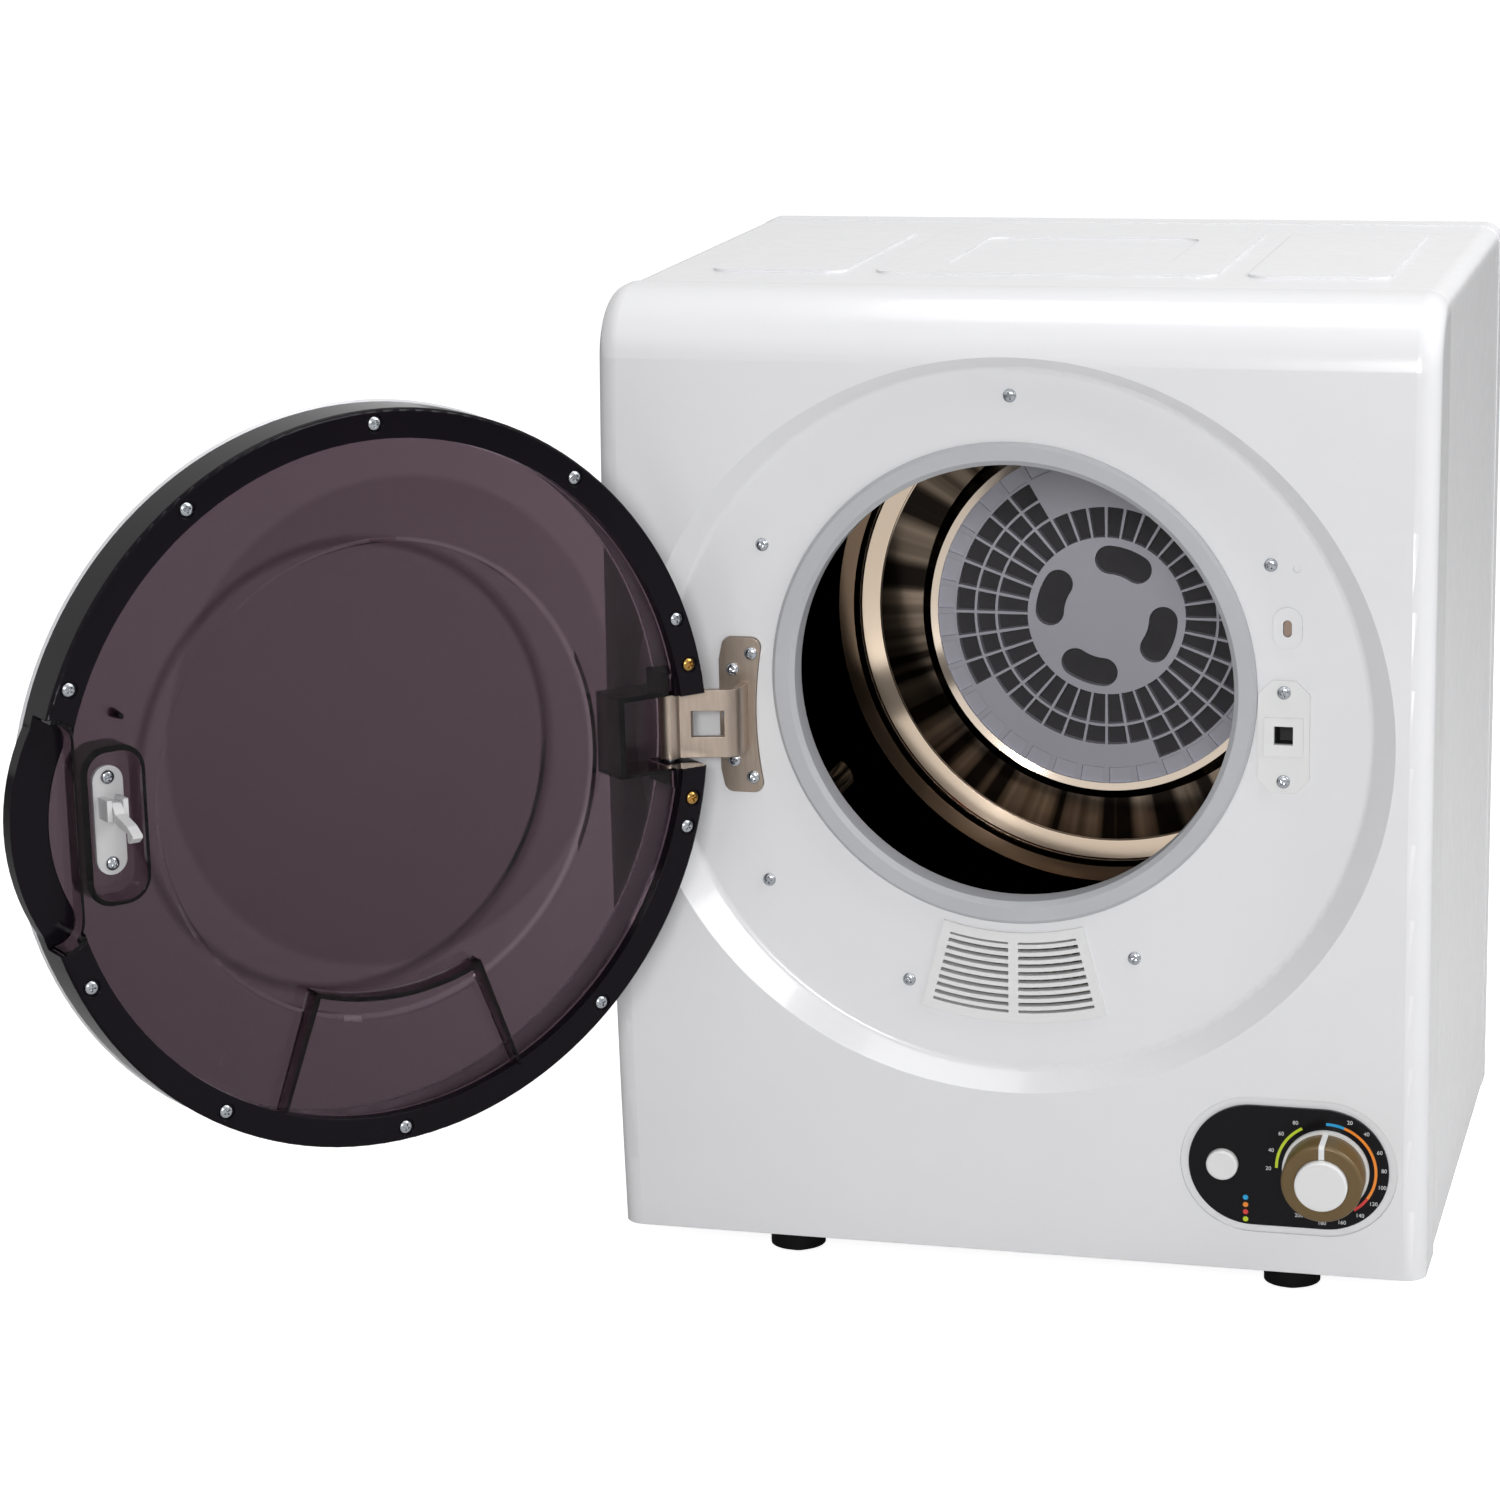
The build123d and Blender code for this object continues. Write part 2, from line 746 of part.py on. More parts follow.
def make_heater_core():
    """The ceramic heating block: fins across the air's way, held at both ends by the shroud."""
    back = y_plate + heater_depth - heater_sheet
    core = prism(grille_outline(-10.0), back - 14.0, back)
    fin_pitch = 6.0
    count = int(2 * grille_bottom_half / fin_pitch)
    gaps = Sketch()
    for index in range(count):
        x = (index - (count - 1) / 2) * fin_pitch
        gaps += Pos(x, mouth_z - (grille_inner_radius + grille_outer_radius) / 2) * Rectangle(3.6, 30.0)
    gaps &= grille_outline(-13.0)
    return core - prism(gaps, back - 15.0, back + 1)


def make_thermostat():
    """The cut-out on the back of the heater's shroud: a disc with a smaller cup on it."""
    back = y_plate + heater_depth
    z = mouth_z - (grille_inner_radius + grille_outer_radius) / 2
    base = disc(thermostat_radius, back, back + 4.0, 0, z)
    return base + disc(thermostat_radius * 0.7, back + 4.0, back + 9.0, 0, z)


def make_control_fascia():
    """The black plate round the knob and the push-button."""
    plate = on_fascia(stadium(fascia_width, fascia_height), fascia_floor, fascia_face)
    plate -= on_fascia(Pos(knob_offset, 0) * Circle(timer_shaft_radius + 2.0), -8.0, 8.0)
    return plate - on_fascia(Pos(button_offset, 0) * Circle(button_radius + slip), -8.0, 8.0)


def make_timer():
    """The clockwork timer behind the front panel."""
    body = on_fascia(Pos(knob_offset, 0) * Rectangle(44.0, 48.0), panel_back - 30.0, panel_back)
    bore = Pos(knob_offset, 0) * Circle(timer_shaft_radius + shaft_play)
    return body - on_fascia(bore, panel_back - 22.0, 1.0)


def make_timer_shaft():
    top = fascia_face + knob_height - knob_well - 1.0
    return on_fascia(Pos(knob_offset, 0) * Circle(timer_shaft_radius), panel_back - 21.5, top)


def make_knob_flange():
    low = fascia_face + slip
    face = Circle(knob_flange_radius) - Circle(timer_shaft_radius + shaft_play)
    return on_fascia(Pos(knob_offset, 0) * face, low, low + knob_flange_height)


def knob_form():
    """The grip's outer form: a short drum with a rounded front edge."""
    low = fascia_face + slip + knob_flange_height
    form = on_fascia(Pos(knob_offset, 0) * Circle(knob_radius), low, fascia_face + knob_height)
    front_edge = form.edges().filter_by(GeomType.CIRCLE).sort_by(Axis.Y)[0]
    return fillet(front_edge, 2.0)


def pointer_bar(room):
    """The pointer's inlay in the grip: across its front and down its side, or its groove with room."""
    top = fascia_face + knob_height
    width = pointer_width + 2 * room
    depth = pointer_depth + room
    reach = knob_radius - knob_cap_radius
    front = Pos(knob_offset, knob_cap_radius + reach / 2) * Rectangle(width, reach)
    side = Pos(knob_offset, knob_radius - depth / 2) * Rectangle(width, depth)
    return on_fascia(front, top - depth, top) + on_fascia(side, fascia_face, top)


def make_knob_skirt():
    """The turning grip, with a well for the cap, a bore for the shaft and the pointer's groove."""
    well = fascia_face + knob_height - knob_well
    grip = knob_form() - pointer_bar(slip / 2)
    grip -= on_fascia(Pos(knob_offset, 0) * Circle(knob_cap_radius + slip), well, well + 10.0)
    bore = Pos(knob_offset, 0) * Circle(timer_shaft_radius + shaft_play)
    return grip - on_fascia(bore, fascia_face, well - 1.0)


def make_knob_cap():
    well = fascia_face + knob_height - knob_well
    top = fascia_face + knob_height + knob_cap_height
    cap = on_fascia(Pos(knob_offset, 0) * Circle(knob_cap_radius), well, top)
    top_edge = cap.edges().filter_by(GeomType.CIRCLE).sort_by(Axis.Y)[0]
    return fillet(top_edge, 1.2)


def make_knob_pointer():
    """The white bar let into the grip, flush with it, from the cap to the flange."""
    bar = knob_form() & pointer_bar(0.0)
    return bar - on_fascia(Pos(knob_offset, 0) * Circle(knob_cap_radius + slip), 0.0, 40.0)


def make_heat_button():
    round_face = Pos(button_offset, 0) * Circle(button_radius)
    button = on_fascia(round_face, panel_back - 2.0, fascia_face + button_height)
    top_edge = button.edges().filter_by(GeomType.CIRCLE).sort_by(Axis.Y)[0]
    return fillet(top_edge, 1.5)


def make_heat_switch():
    """The push switch behind the heat button, with a well that the button slides in."""
    body = on_fascia(Pos(button_offset, 0) * Rectangle(26.0, 30.0), panel_back - 24.0, panel_back)
    return body - on_fascia(Pos(button_offset, 0) * Circle(button_radius + slip), panel_back - 6.0, 1.0)


def make_drum_shell():
    """The polished drum wall, with a curled front edge and two rolled beads."""
    inner = drum_radius
    outer = drum_radius + drum_sheet
    stations = [0.24, 0.72]
    inside = [(inner, y_drum)]
    outside = [(outer + 3.0, y_drum), (outer + 3.0, y_drum + 4.0), (outer, y_drum + 6.0)]
    for station in stations:
        middle = y_drum + station * drum_length
        for reach, height in ((-1.0, 0), (-0.5, 1), (0.5, 1), (1.0, 0)):
            y = middle + reach * bead_width / 2
            inside.append((inner - height * bead_height, y))
            outside.append((outer - height * bead_height, y))
    inside.append((inner, y_drum_back))
    outside.append((outer, y_drum_back))
    return spun(inside + outside[::-1])


def make_drum_back():
    """The dished back of the drum: a raised ring, a cone and the round seat of the filter."""
    ring_out = back_ring_radius + back_ring_width
    seat_out = filter_radius + filter_seat_width
    y0 = y_drum_back
    y_bead = y0 - back_ring_height
    y_dish = y0 + back_dish
    front = [
        (drum_radius + 3.0, y0),
        (ring_out + 3.0, y0),
        (ring_out, y_bead),
        (back_ring_radius, y_bead),
        (back_ring_radius - 3.0, y0 - 1.0),
        (seat_out, y_dish),
        (seat_out, y0 - 1.0),
        (filter_radius, y0 - 1.0),
    ]
    back = [
        (filter_radius, y_dish + sheet),
        (seat_out + 1.0, y_dish + sheet),
        (back_ring_radius - 3.6, y0 - 1.0 + sheet),
        (back_ring_radius - 0.6, y_bead + sheet),
        (ring_out + 0.6 - 1.2, y_bead + sheet),
        (ring_out + 2.4, y0 + sheet),
        (drum_radius + 3.0, y0 + sheet),
    ]
    return spun(front + back)


def make_drum_lifters():
    """Pressed lifters fixed along the drum wall, which carry the laundry up."""
    seat = drum_radius
    half = lifter_width / 2
    sink = seat - sqrt(seat**2 - half**2)
    outline = make_face(
        [
            ThreePointArc((-half, -seat + sink), (0, -seat), (half, -seat + sink)),
            Line((half, -seat + sink), (half * 0.35, -seat + lifter_height)),
            ThreePointArc(
                (half * 0.35, -seat + lifter_height),
                (0, -seat + lifter_height + 2.0),
                (-half * 0.35, -seat + lifter_height),
            ),
            Line((-half * 0.35, -seat + lifter_height), (-half, -seat + sink)),
        ]
    )
    start = y_drum + 0.24 * drum_length + bead_width
    end = y_drum + 0.72 * drum_length - bead_width
    lifter = prism(outline, start, end)
    lifters = []
    for index in range(lifter_count):
        turn = 60.0 + 360.0 * index / lifter_count
        lifters.append(Pos(0, 0, drum_axis_z) * Rot(0, turn, 0) * lifter)
    return group(lifters)


def sector(inner, outer, start, end):
    """A piece of a ring between two angles, in degrees from +X towards +Z."""
    def at(radius, angle):
        return radius * cos(radians(angle)), radius * sin(radians(angle))

    middle = (start + end) / 2
    return make_face(
        [
            ThreePointArc(at(inner, start), at(inner, middle), at(inner, end)),
            Line(at(inner, end), at(outer, end)),
            ThreePointArc(at(outer, end), at(outer, middle), at(outer, start)),
            Line(at(outer, start), at(inner, start)),
        ]
    )


def make_filter_cover():
    """The lint filter's cover: a wheel of open cells round a solid hub with four finger holes."""
    rim = filter_radius - slip
    cover = disc(rim, y_cover, y_cover + cover_thickness)
    cells = []
    step = 360.0 / cover_spokes
    radii = (cover_hub_radius,) + cover_ring_radii
    for row, (low, high) in enumerate(zip(radii[:-1], radii[1:])):
        inner = low + cover_rib / 2
        outer = high - cover_rib / 2
        gap = degrees(cover_rib / (inner + outer))
        for index in range(cover_spokes):
            start, end = index * step, (index + 1) * step
            if row > 0 and cover_blank_plate[0] <= start and end <= cover_blank_plate[1]:
                continue
            if row == 2 and cover_blank_band[0] <= start and end <= cover_blank_band[1]:
                continue
            cells.append(sector(inner, outer, start + gap, end - gap))
    holes = Sketch(children=[]) + cells
    for index in range(4):
        turn = finger_hole_turn + 90.0 * index
        path = CenterArc((0, 0), finger_hole_pitch, turn - finger_hole_arc, 2 * finger_hole_arc)
        holes += SlotArc(path, 2 * finger_hole_radius)
    cover -= prism(Pos(0, drum_axis_z) * holes, y_cover - 1, y_cover + cover_thickness + 1)
    pockets = []
    outer_ring = cover_ring_radii[-1] + cover_rib / 2
    for index in range(cover_spokes):
        start = index * step + 1.0
        pockets.append(sector(outer_ring, rim - cover_rim, start, start + step - 2.0))
    trough = Sketch(children=[]) + pockets
    return cover - prism(Pos(0, drum_axis_z) * trough, y_cover - 1, y_cover + cover_pocket_depth)


def make_lint_mesh():
    """The framed filter screen under the cover."""
    return disc(filter_radius - slip, y_mesh, y_mesh + mesh_thickness)


def make_drum_spider():
    """The three-armed casting behind the drum that carries it on its shaft."""
    spider = ring(shaft_radius + shaft_play, spider_hub_radius, y_spider + 2.0, y_hub_end)
    spider += ring(filter_radius - 12.0, filter_radius - slip, y_spider, y_arm)
    pad_inner = back_ring_radius + back_ring_width + 5.0
    for index in range(3):
        turn = Pos(0, 0, drum_axis_z) * Rot(0, 90.0 + 120.0 * index, 0)
        arm = Pos((spider_hub_radius + drum_radius) / 2 - 1.0, 0) * Rectangle(
            drum_radius - spider_hub_radius, spider_arm_width
        )
        spider += turn * prism(arm, y_arm, y_arm + spider_arm_thickness)
        pad = Pos((pad_inner + drum_radius) / 2 - 1.0, 0) * Rectangle(
            drum_radius - pad_inner, spider_arm_width
        )
        spider += turn * prism(pad, y_drum_back + sheet, y_arm)
    return spider


def make_drum_shaft():
    return disc(shaft_radius, y_spider + 2.0, y_fan_pulley + belt_width + rear_gap - 1.0)


def make_rear_bearing():
    """A flanged bush in the rear bulkhead: the drum's shaft turns in it, the fan on it."""
    bush = ring(shaft_radius + shaft_play, bearing_radius, y_bulkhead - 2.0, y_fan_pulley + belt_width)
    return bush + ring(bearing_radius - 1.0, 28.0, y_bulkhead - 2.0, y_bulkhead)


def make_rear_bulkhead():
    """The wall behind the drum: air goes through its windows into the fan."""
    inset = side_setback + sheet
    wall = prism(section(inset), y_bulkhead, y_bulkhead + sheet)
    foot = Pos(0, foot_height) * Rectangle(cabinet_width, 2 * sheet)
    wall -= prism(foot, y_bulkhead - 1, y_bulkhead + sheet + 1)
    side = Rectangle(4 * (front_panel_wall - inset) + 2 * sheet + 2 * slip, 60.0)
    for way in (-1, 1):
        corner = Pos(way * (cabinet_width / 2 - inset), base_top) * side
        wall -= prism(corner, y_bulkhead - 1, y_bulkhead + sheet + 1)
    windows = []
    for index in range(intake_windows):
        start = index * 360.0 / intake_windows
        windows.append(sector(intake_inner, intake_outer, start + 6.0, start + 54.0))
    holes = Pos(0, drum_axis_z) * (Sketch(children=[]) + windows)
    wall -= prism(holes, y_bulkhead - 1, y_bulkhead + sheet + 1)
    wall -= disc(bearing_radius + shaft_play, y_bulkhead - 1, y_bulkhead + sheet + 1)
    return wall - disc(14.0, y_bulkhead - 1, y_bulkhead + sheet + 1, motor_x, motor_z)


def hull_of_rounds(x1, z1, r1, x2, z2, r2):
    """The outline of a band pulled round two circles."""
    gap = hypot(x2 - x1, z2 - z1)
    along = degrees(atan2(z2 - z1, x2 - x1))
    lean = degrees(asin((r1 - r2) / gap))
    corners = []
    for side, order in ((1, ((x1, z1, r1), (x2, z2, r2))), (-1, ((x2, z2, r2), (x1, z1, r1)))):
        angle = radians(along + side * (90.0 - lean))
        for x, z, r in order:
            corners.append((x + r * cos(angle), z + r * sin(angle)))
    web = make_face(Polyline(*corners, close=True))
    return web + Pos(x1, z1) * Circle(r1) + Pos(x2, z2) * Circle(r2)


def make_fan_scroll():
    """The fan's housing: a tapering band from the fan to the exhaust outlet, closed at the back."""
    wide = fan_radius + scroll_clearance
    narrow = outlet_radius + outlet_step
    inner = hull_of_rounds(0, drum_axis_z, wide, outlet_x, outlet_z, narrow)
    outer = hull_of_rounds(0, drum_axis_z, wide + outlet_wall, outlet_x, outlet_z, narrow + outlet_wall)
    low = y_bulkhead + sheet
    scroll = prism(outer, low, y_scroll_back + sheet) - prism(inner, low - 1, y_scroll_back)
    scroll += disc(outlet_radius + outlet_wall, y_scroll_back, y_back, outlet_x, outlet_z)
    scroll -= disc(outlet_radius, y_scroll_back - 1, y_back + 1, outlet_x, outlet_z)
    return scroll - disc(bearing_radius + 13.0, y_scroll_back - 1, y_scroll_back + sheet + 1)


def make_fan_wheel():
    """A backward-curved centrifugal wheel on its bush, with the drive pulley behind."""
    hub = bearing_radius + shaft_play
    plate_y = y_fan + fan_height - 2.0
    wheel = ring(hub, fan_radius, plate_y, plate_y + 2.0)
    wheel += ring(hub, hub + 9.0, y_fan, y_fan_pulley + belt_width)
    wheel += ring(hub, fan_pulley_radius, y_fan_pulley, y_fan_pulley + belt_width)
    root = 40.0
    for index in range(fan_blades):
        turn = Pos(0, 0, drum_axis_z) * Rot(0, 360.0 * index / fan_blades, 0)
        blade = make_face(
            [
                ThreePointArc((root, 0), (fan_radius * 0.7, 9.0), (fan_radius - 3.0, 30.0)),
                Line((fan_radius - 3.0, 30.0), (fan_radius - 2.0, 28.0)),
                ThreePointArc((fan_radius - 2.0, 28.0), (fan_radius * 0.7 + 1.0, 7.2), (root, -2.0)),
                Line((root, -2.0), (root, 0)),
            ]
        )
        wheel += turn * prism(blade, y_fan, plate_y)
    return wheel


def make_motor():
    """The motor's can, with a boss at each end that its shaft turns in."""
    end = motor_front_y + motor_length
    can = disc(motor_radius, motor_front_y, end, motor_x, motor_z)
    can = fillet(can.edges().filter_by(GeomType.CIRCLE), 5.0)
    can += disc(12.0, motor_front_y - 5.0, end + 5.0, motor_x, motor_z)
    return can - disc(motor_shaft_radius + shaft_play, motor_front_y - 9, end + 9, motor_x, motor_z)


def make_motor_shaft():
    """The motor's shaft with its two pulleys: the drum's in front, the fan's behind."""
    groove_low = drum_belt_y - belt_width / 2
    pulley_end = y_fan_pulley + belt_width
    shaft = disc(motor_shaft_radius, groove_low - 4.0, pulley_end + 1.0, motor_x, motor_z)
    shaft += disc(motor_pulley_radius, groove_low, groove_low + belt_width, motor_x, motor_z)
    for y in (groove_low - 2.0, groove_low + belt_width):
        shaft += disc(motor_pulley_radius + 4.0, y, y + 2.0, motor_x, motor_z)
    return shaft + disc(motor_fan_pulley_radius, y_fan_pulley, pulley_end, motor_x, motor_z)


def make_motor_bracket():
    """Two saddles on a foot plate, bolted to the base pan."""
    plate = Pos(motor_x, motor_front_y + motor_length / 2, base_top + 1.0)
    bracket = plate * Box(1.5 * motor_radius, motor_length - 10.0, 2.0)
    for y in (motor_front_y + 12.0, motor_front_y + motor_length - 15.0):
        height = motor_z - base_top - 2.0
        web = Pos(motor_x, base_top + 2.0 + height / 2) * Rectangle(1.5 * motor_radius, height)
        bracket += prism(web, y, y + 3.0)
    motor_end = motor_front_y + motor_length
    return bracket - disc(motor_radius, motor_front_y - 1, motor_end + 1, motor_x, motor_z)


def make_capacitor():
    upright = (Align.CENTER, Align.CENTER, Align.MIN)
    can = Pos(-150.0, 70.0, base_top) * Cylinder(20.0, 62.0, align=upright)
    return fillet(can.edges().filter_by(GeomType.CIRCLE).sort_by(Axis.Z)[-1], 3.0)


def make_drum_belt():
    """The flat belt from the motor round the drum."""
    reach = drum_radius + drum_sheet + slip
    grip = motor_pulley_radius + slip
    inner = hull_of_rounds(0, drum_axis_z, reach, motor_x, motor_z, grip)
    outer = hull_of_rounds(
        0, drum_axis_z, reach + belt_thickness, motor_x, motor_z, grip + belt_thickness
    )
    low = drum_belt_y - belt_width / 2 + slip
    return prism(outer - inner, low, low + belt_width - 2 * slip)


def make_fan_belt():
    """The belt from the motor's back end to the fan's pulley."""
    wide = fan_pulley_radius + slip
    small = motor_fan_pulley_radius + slip
    inner = hull_of_rounds(0, drum_axis_z, wide, motor_x, motor_z, small)
    outer = hull_of_rounds(0, drum_axis_z, wide + belt_thickness, motor_x, motor_z, small + belt_thickness)
    return prism(outer - inner, y_fan_pulley + 1.0, y_fan_pulley + belt_width - 1.0)


# The door, drawn shut
pocket_left = hinge_x - 16.0
pocket_right = hinge_leaf_x + 5.0
pocket_half = hinge_arm_width / 2 + 1.5
pocket_floor = hinge_y - hinge_barrel_radius - 2.0
scoop_left = door_radius - handle_width
scoop_floor = y_rim - handle_sink


def box_between(x_low, x_high, y_low, y_high, z_low, z_high):
    return Pos((x_low + x_high) / 2, (y_low + y_high) / 2, (z_low + z_high) / 2) * Box(
        x_high - x_low, y_high - y_low, z_high - z_low
    )


def swing(piece):
    """Opens the door to its resting angle about the hinge pin."""
    return Pos(hinge_x, hinge_y, 0) * Rot(0, 0, -door_open_angle) * Pos(-hinge_x, -hinge_y, 0) * piece


def scoop_outline(grow=0.0):
    """The finger hollow behind the door's handle, as seen from the front."""
    width = 2 * handle_width
    place = Pos(scoop_left + width / 2 + grow / 2, drum_axis_z)
    return place * RectangleRounded(width - grow, 2 * handle_half - 2 * grow, 16.0 - grow)


def handle_outline(inset=0.0):
    reach = door_radius + handle_reach
    return Pos(reach - handle_curve, drum_axis_z) * Circle(handle_curve - inset)


def round_outline(radius):
    return Pos(0, drum_axis_z) * Circle(radius)


def door_screw_places():
    return [
        (door_screw_circle * cos(radians(a)), drum_axis_z + door_screw_circle * sin(radians(a)))
        for a in door_screw_angles
    ]


def boss_screw_places():
    """The two brass screws in the rim, one over and one under the hinge."""
    reach = pocket_half + hinge_boss_length + 6.5
    x = -sqrt(door_screw_circle**2 - reach**2)
    return [(x, drum_axis_z + side * reach) for side in (1, -1)]


def door_room():
    """The hollow between the door's two faces."""
    inside = door_radius - door_wall
    shoulder = y_dome_edge - 8.5
    top = y_dome_edge - dome_rise + pane_wall
    return spun(
        [
            (0, y_rim),
            (inside, y_rim),
            (inside, y_dome_edge),
            (inside - 1.0, shoulder + 5.5),
            (door_radius - trim_width - slip, shoulder + pane_wall - 1.0 + slip),
            (window_radius + 5.0, top + slip),
            (0, top + slip),
        ]
    )


def make_door_frame():
    """The dark rim: a channel-shaped ring with the handle's lip and the bosses of the hinge pin."""
    inner = door_radius - rim_width
    low = y_pane - door_wall
    frame = spun(
        [
            (inner, y_rim),
            (door_radius, y_rim),
            (door_radius, y_dome_edge),
            (door_radius - door_wall, y_dome_edge),
            (door_radius - door_wall, y_rim - door_wall),
            (inner + door_wall, y_rim - door_wall),
            (inner + door_wall, low),
            (inner, low),
        ]
    )
    rim_face = frame.faces().sort_by(Axis.Y)[-1]
    rim_edge = rim_face.edges().sort_by(SortBy.RADIUS)[-1]
    frame = fillet(rim_edge, 2.0)
    frame -= prism(scoop_outline(), scoop_floor, y_rim + 1)
    lip = (handle_outline() - handle_outline(handle_band)) & scoop_outline()
    lip += handle_outline() - round_outline(door_radius - door_wall)
    frame += prism(lip, scoop_floor - handle_lip, scoop_floor)
    bosses = box_between(
        hinge_x - hinge_boss_half,
        hinge_x + hinge_boss_half,
        pocket_floor - door_wall,
        y_rim - door_wall,
        drum_axis_z - pocket_half - hinge_boss_length,
        drum_axis_z + pocket_half + hinge_boss_length,
    )
    frame += bosses & door_room()
    frame -= box_between(
        pocket_left,
        pocket_right,
        y_dome_edge,
        y_rim + 1,
        drum_axis_z - pocket_half,
        drum_axis_z + pocket_half,
    )
    frame -= box_between(
        hinge_x - hinge_boss_half - 1,
        hinge_x + hinge_boss_half + 1,
        pocket_floor - 10,
        y_rim,
        drum_axis_z - pocket_half,
        drum_axis_z + pocket_half,
    )
    pin_length = hinge_arm_width + 2 * hinge_boss_length - 1.0
    pin_way = Cylinder(hinge_pin_radius + shaft_play / 2, pin_length)
    frame -= Pos(hinge_x, hinge_y, drum_axis_z) * pin_way
    for x, z in door_screw_places() + boss_screw_places():
        frame -= screw_hole(x, z, y_rim - 9.0, y_rim + 1)
        frame -= disc(counterbore_radius, y_rim - counterbore_depth, y_rim + 1, x, z)
    return frame


def make_door_inner_pane():
    """The smoky inner pane: a shallow step, the duct's rib and hollows for latch, hand and hinge."""
    outer = door_radius - rim_width - slip
    inside = door_radius - door_wall - slip
    back = y_pane - pane_wall
    pane = spun(
        [
            (0, y_pane - pane_step),
            (pane_step_radius - 3.0, y_pane - pane_step),
            (pane_step_radius, y_pane),
            (outer, y_pane),
            (outer, back),
            (pane_step_radius - 1.0, back),
            (pane_step_radius - 4.0, back - pane_step),
            (0, back - pane_step),
        ]
    )
    rib = duct_outline(0.0) - duct_outline(duct_rib)
    rib &= round_outline(outer)
    pane += prism(rib, y_pane - 1.5, y_ring - duct_rib_gap)
    pane += prism(latch_hollow(-pane_wall), y_pane - latch_sink - pane_wall, y_pane)
    pane -= prism(latch_hollow(0.0), y_pane - latch_sink, y_pane + 1)
    pane -= prism(scoop_outline(), scoop_floor, y_pane + 20)
    scoop = scoop_outline() & round_outline(inside)
    pane += prism(scoop & handle_outline(handle_band + slip), scoop_floor - door_wall, scoop_floor)
    wall = (scoop_outline() - scoop_outline(door_wall)) & round_outline(inside)
    pane += prism(wall, scoop_floor, y_pane)
    pane += prism(wall - round_outline(outer), y_pane, y_rim)
    half = pocket_half
    boss = hinge_boss_length + slip
    edge = hinge_x + hinge_boss_half + slip
    cup = box_between(
        -400,
        pocket_right + door_wall,
        pocket_floor - door_wall,
        y_pane,
        drum_axis_z - half - door_wall,
        drum_axis_z + half + door_wall,
    )
    pane += cup & door_room() & prism(round_outline(inside), -400, 0)
    low, high = drum_axis_z - half, drum_axis_z + half
    pane -= box_between(-400, pocket_right, pocket_floor, y_pane + 20, low, high)
    for side in (-1, 1):
        near = drum_axis_z + side * half
        far = drum_axis_z + side * (half + boss)
        pane -= box_between(-400, edge, -400, 0, min(near, far), max(near, far))
    pane -= box_between(-400, hinge_x - hinge_boss_half, -400, 0, 0, 900)
    peg_x, peg_z = switch_place()
    pane += spun(
        [(0, y_pane - 1.0), (peg_radius, y_pane - 1.0), (peg_tip_radius, y_ring), (0, y_ring)], peg_x, peg_z
    )
    for side in (-1, 1):
        z = drum_axis_z + side * latch_screw_pitch / 2
        pane -= screw_hole(strike_x, z, y_pane - latch_sink - 10, y_pane)
    return pane


def duct_outline(inset):
    """The rib that closes round the air grille: an arched top and flaring sides."""
    top = mouth_radius + seal_lip + duct_seal_gap + inset
    wedge = make_face(
        Polyline(
            (-grille_top_half - 10.0 + inset, -top * 0.9),
            (grille_top_half + 10.0 - inset, -top * 0.9),
            (grille_bottom_half + 24.0 - inset, -grille_outer_radius - 20.0 + inset),
            (-grille_bottom_half - 24.0 + inset, -grille_outer_radius - 20.0 + inset),
            close=True,
        )
    )
    return Pos(0, mouth_z) * (wedge - Circle(top))


def latch_hollow(inset):
    return Pos(strike_x + 2.0, drum_axis_z) * RectangleRounded(
        latch_width + 14.0 - 2 * inset, latch_height + 22.0 - 2 * inset, 12.0 - inset
    )


def make_door_trim_ring():
    """The silvery ring round the door's outer face, between the rim and the outer pane."""
    edge = y_dome_edge
    shoulder = edge - 8.5
    return spun(
        [
            (door_radius - door_wall, edge),
            (door_radius, edge),
            (door_radius + trim_proud, edge - 2.0),
            (door_radius - 1.0, shoulder + 3.0),
            (door_radius - 6.0, shoulder),
            (door_radius - trim_width, shoulder - 1.0),
            (door_radius - trim_width, shoulder + pane_wall - 1.0),
            (door_radius - door_wall - 1.0, shoulder + 5.5),
        ]
    )


def make_door_outer_pane():
    """The smoky outer cover: a shallow cone inside the trim ring and a flat round window."""
    shoulder = y_dome_edge - 8.5
    top = y_dome_edge - dome_rise
    edge = door_radius - trim_width - slip
    return spun(
        [
            (0, top),
            (window_radius - 4.0, top),
            (window_radius, top - 2.0),
            (window_radius + 5.0, top),
            (edge, shoulder - 1.0),
            (edge, shoulder + pane_wall - 1.0),
            (window_radius + 5.0, top + pane_wall),
            (0, top + pane_wall),
        ]
    )


def make_door_screws():
    seat = y_rim - counterbore_depth
    return group([Pos(x, seat, z) * Rot(-90, 0, 0) * screw() for x, z in door_screw_places()])


def make_boss_screws():
    seat = y_rim - counterbore_depth
    return group([Pos(x, seat, z) * Rot(-90, 0, 0) * screw() for x, z in boss_screw_places()])


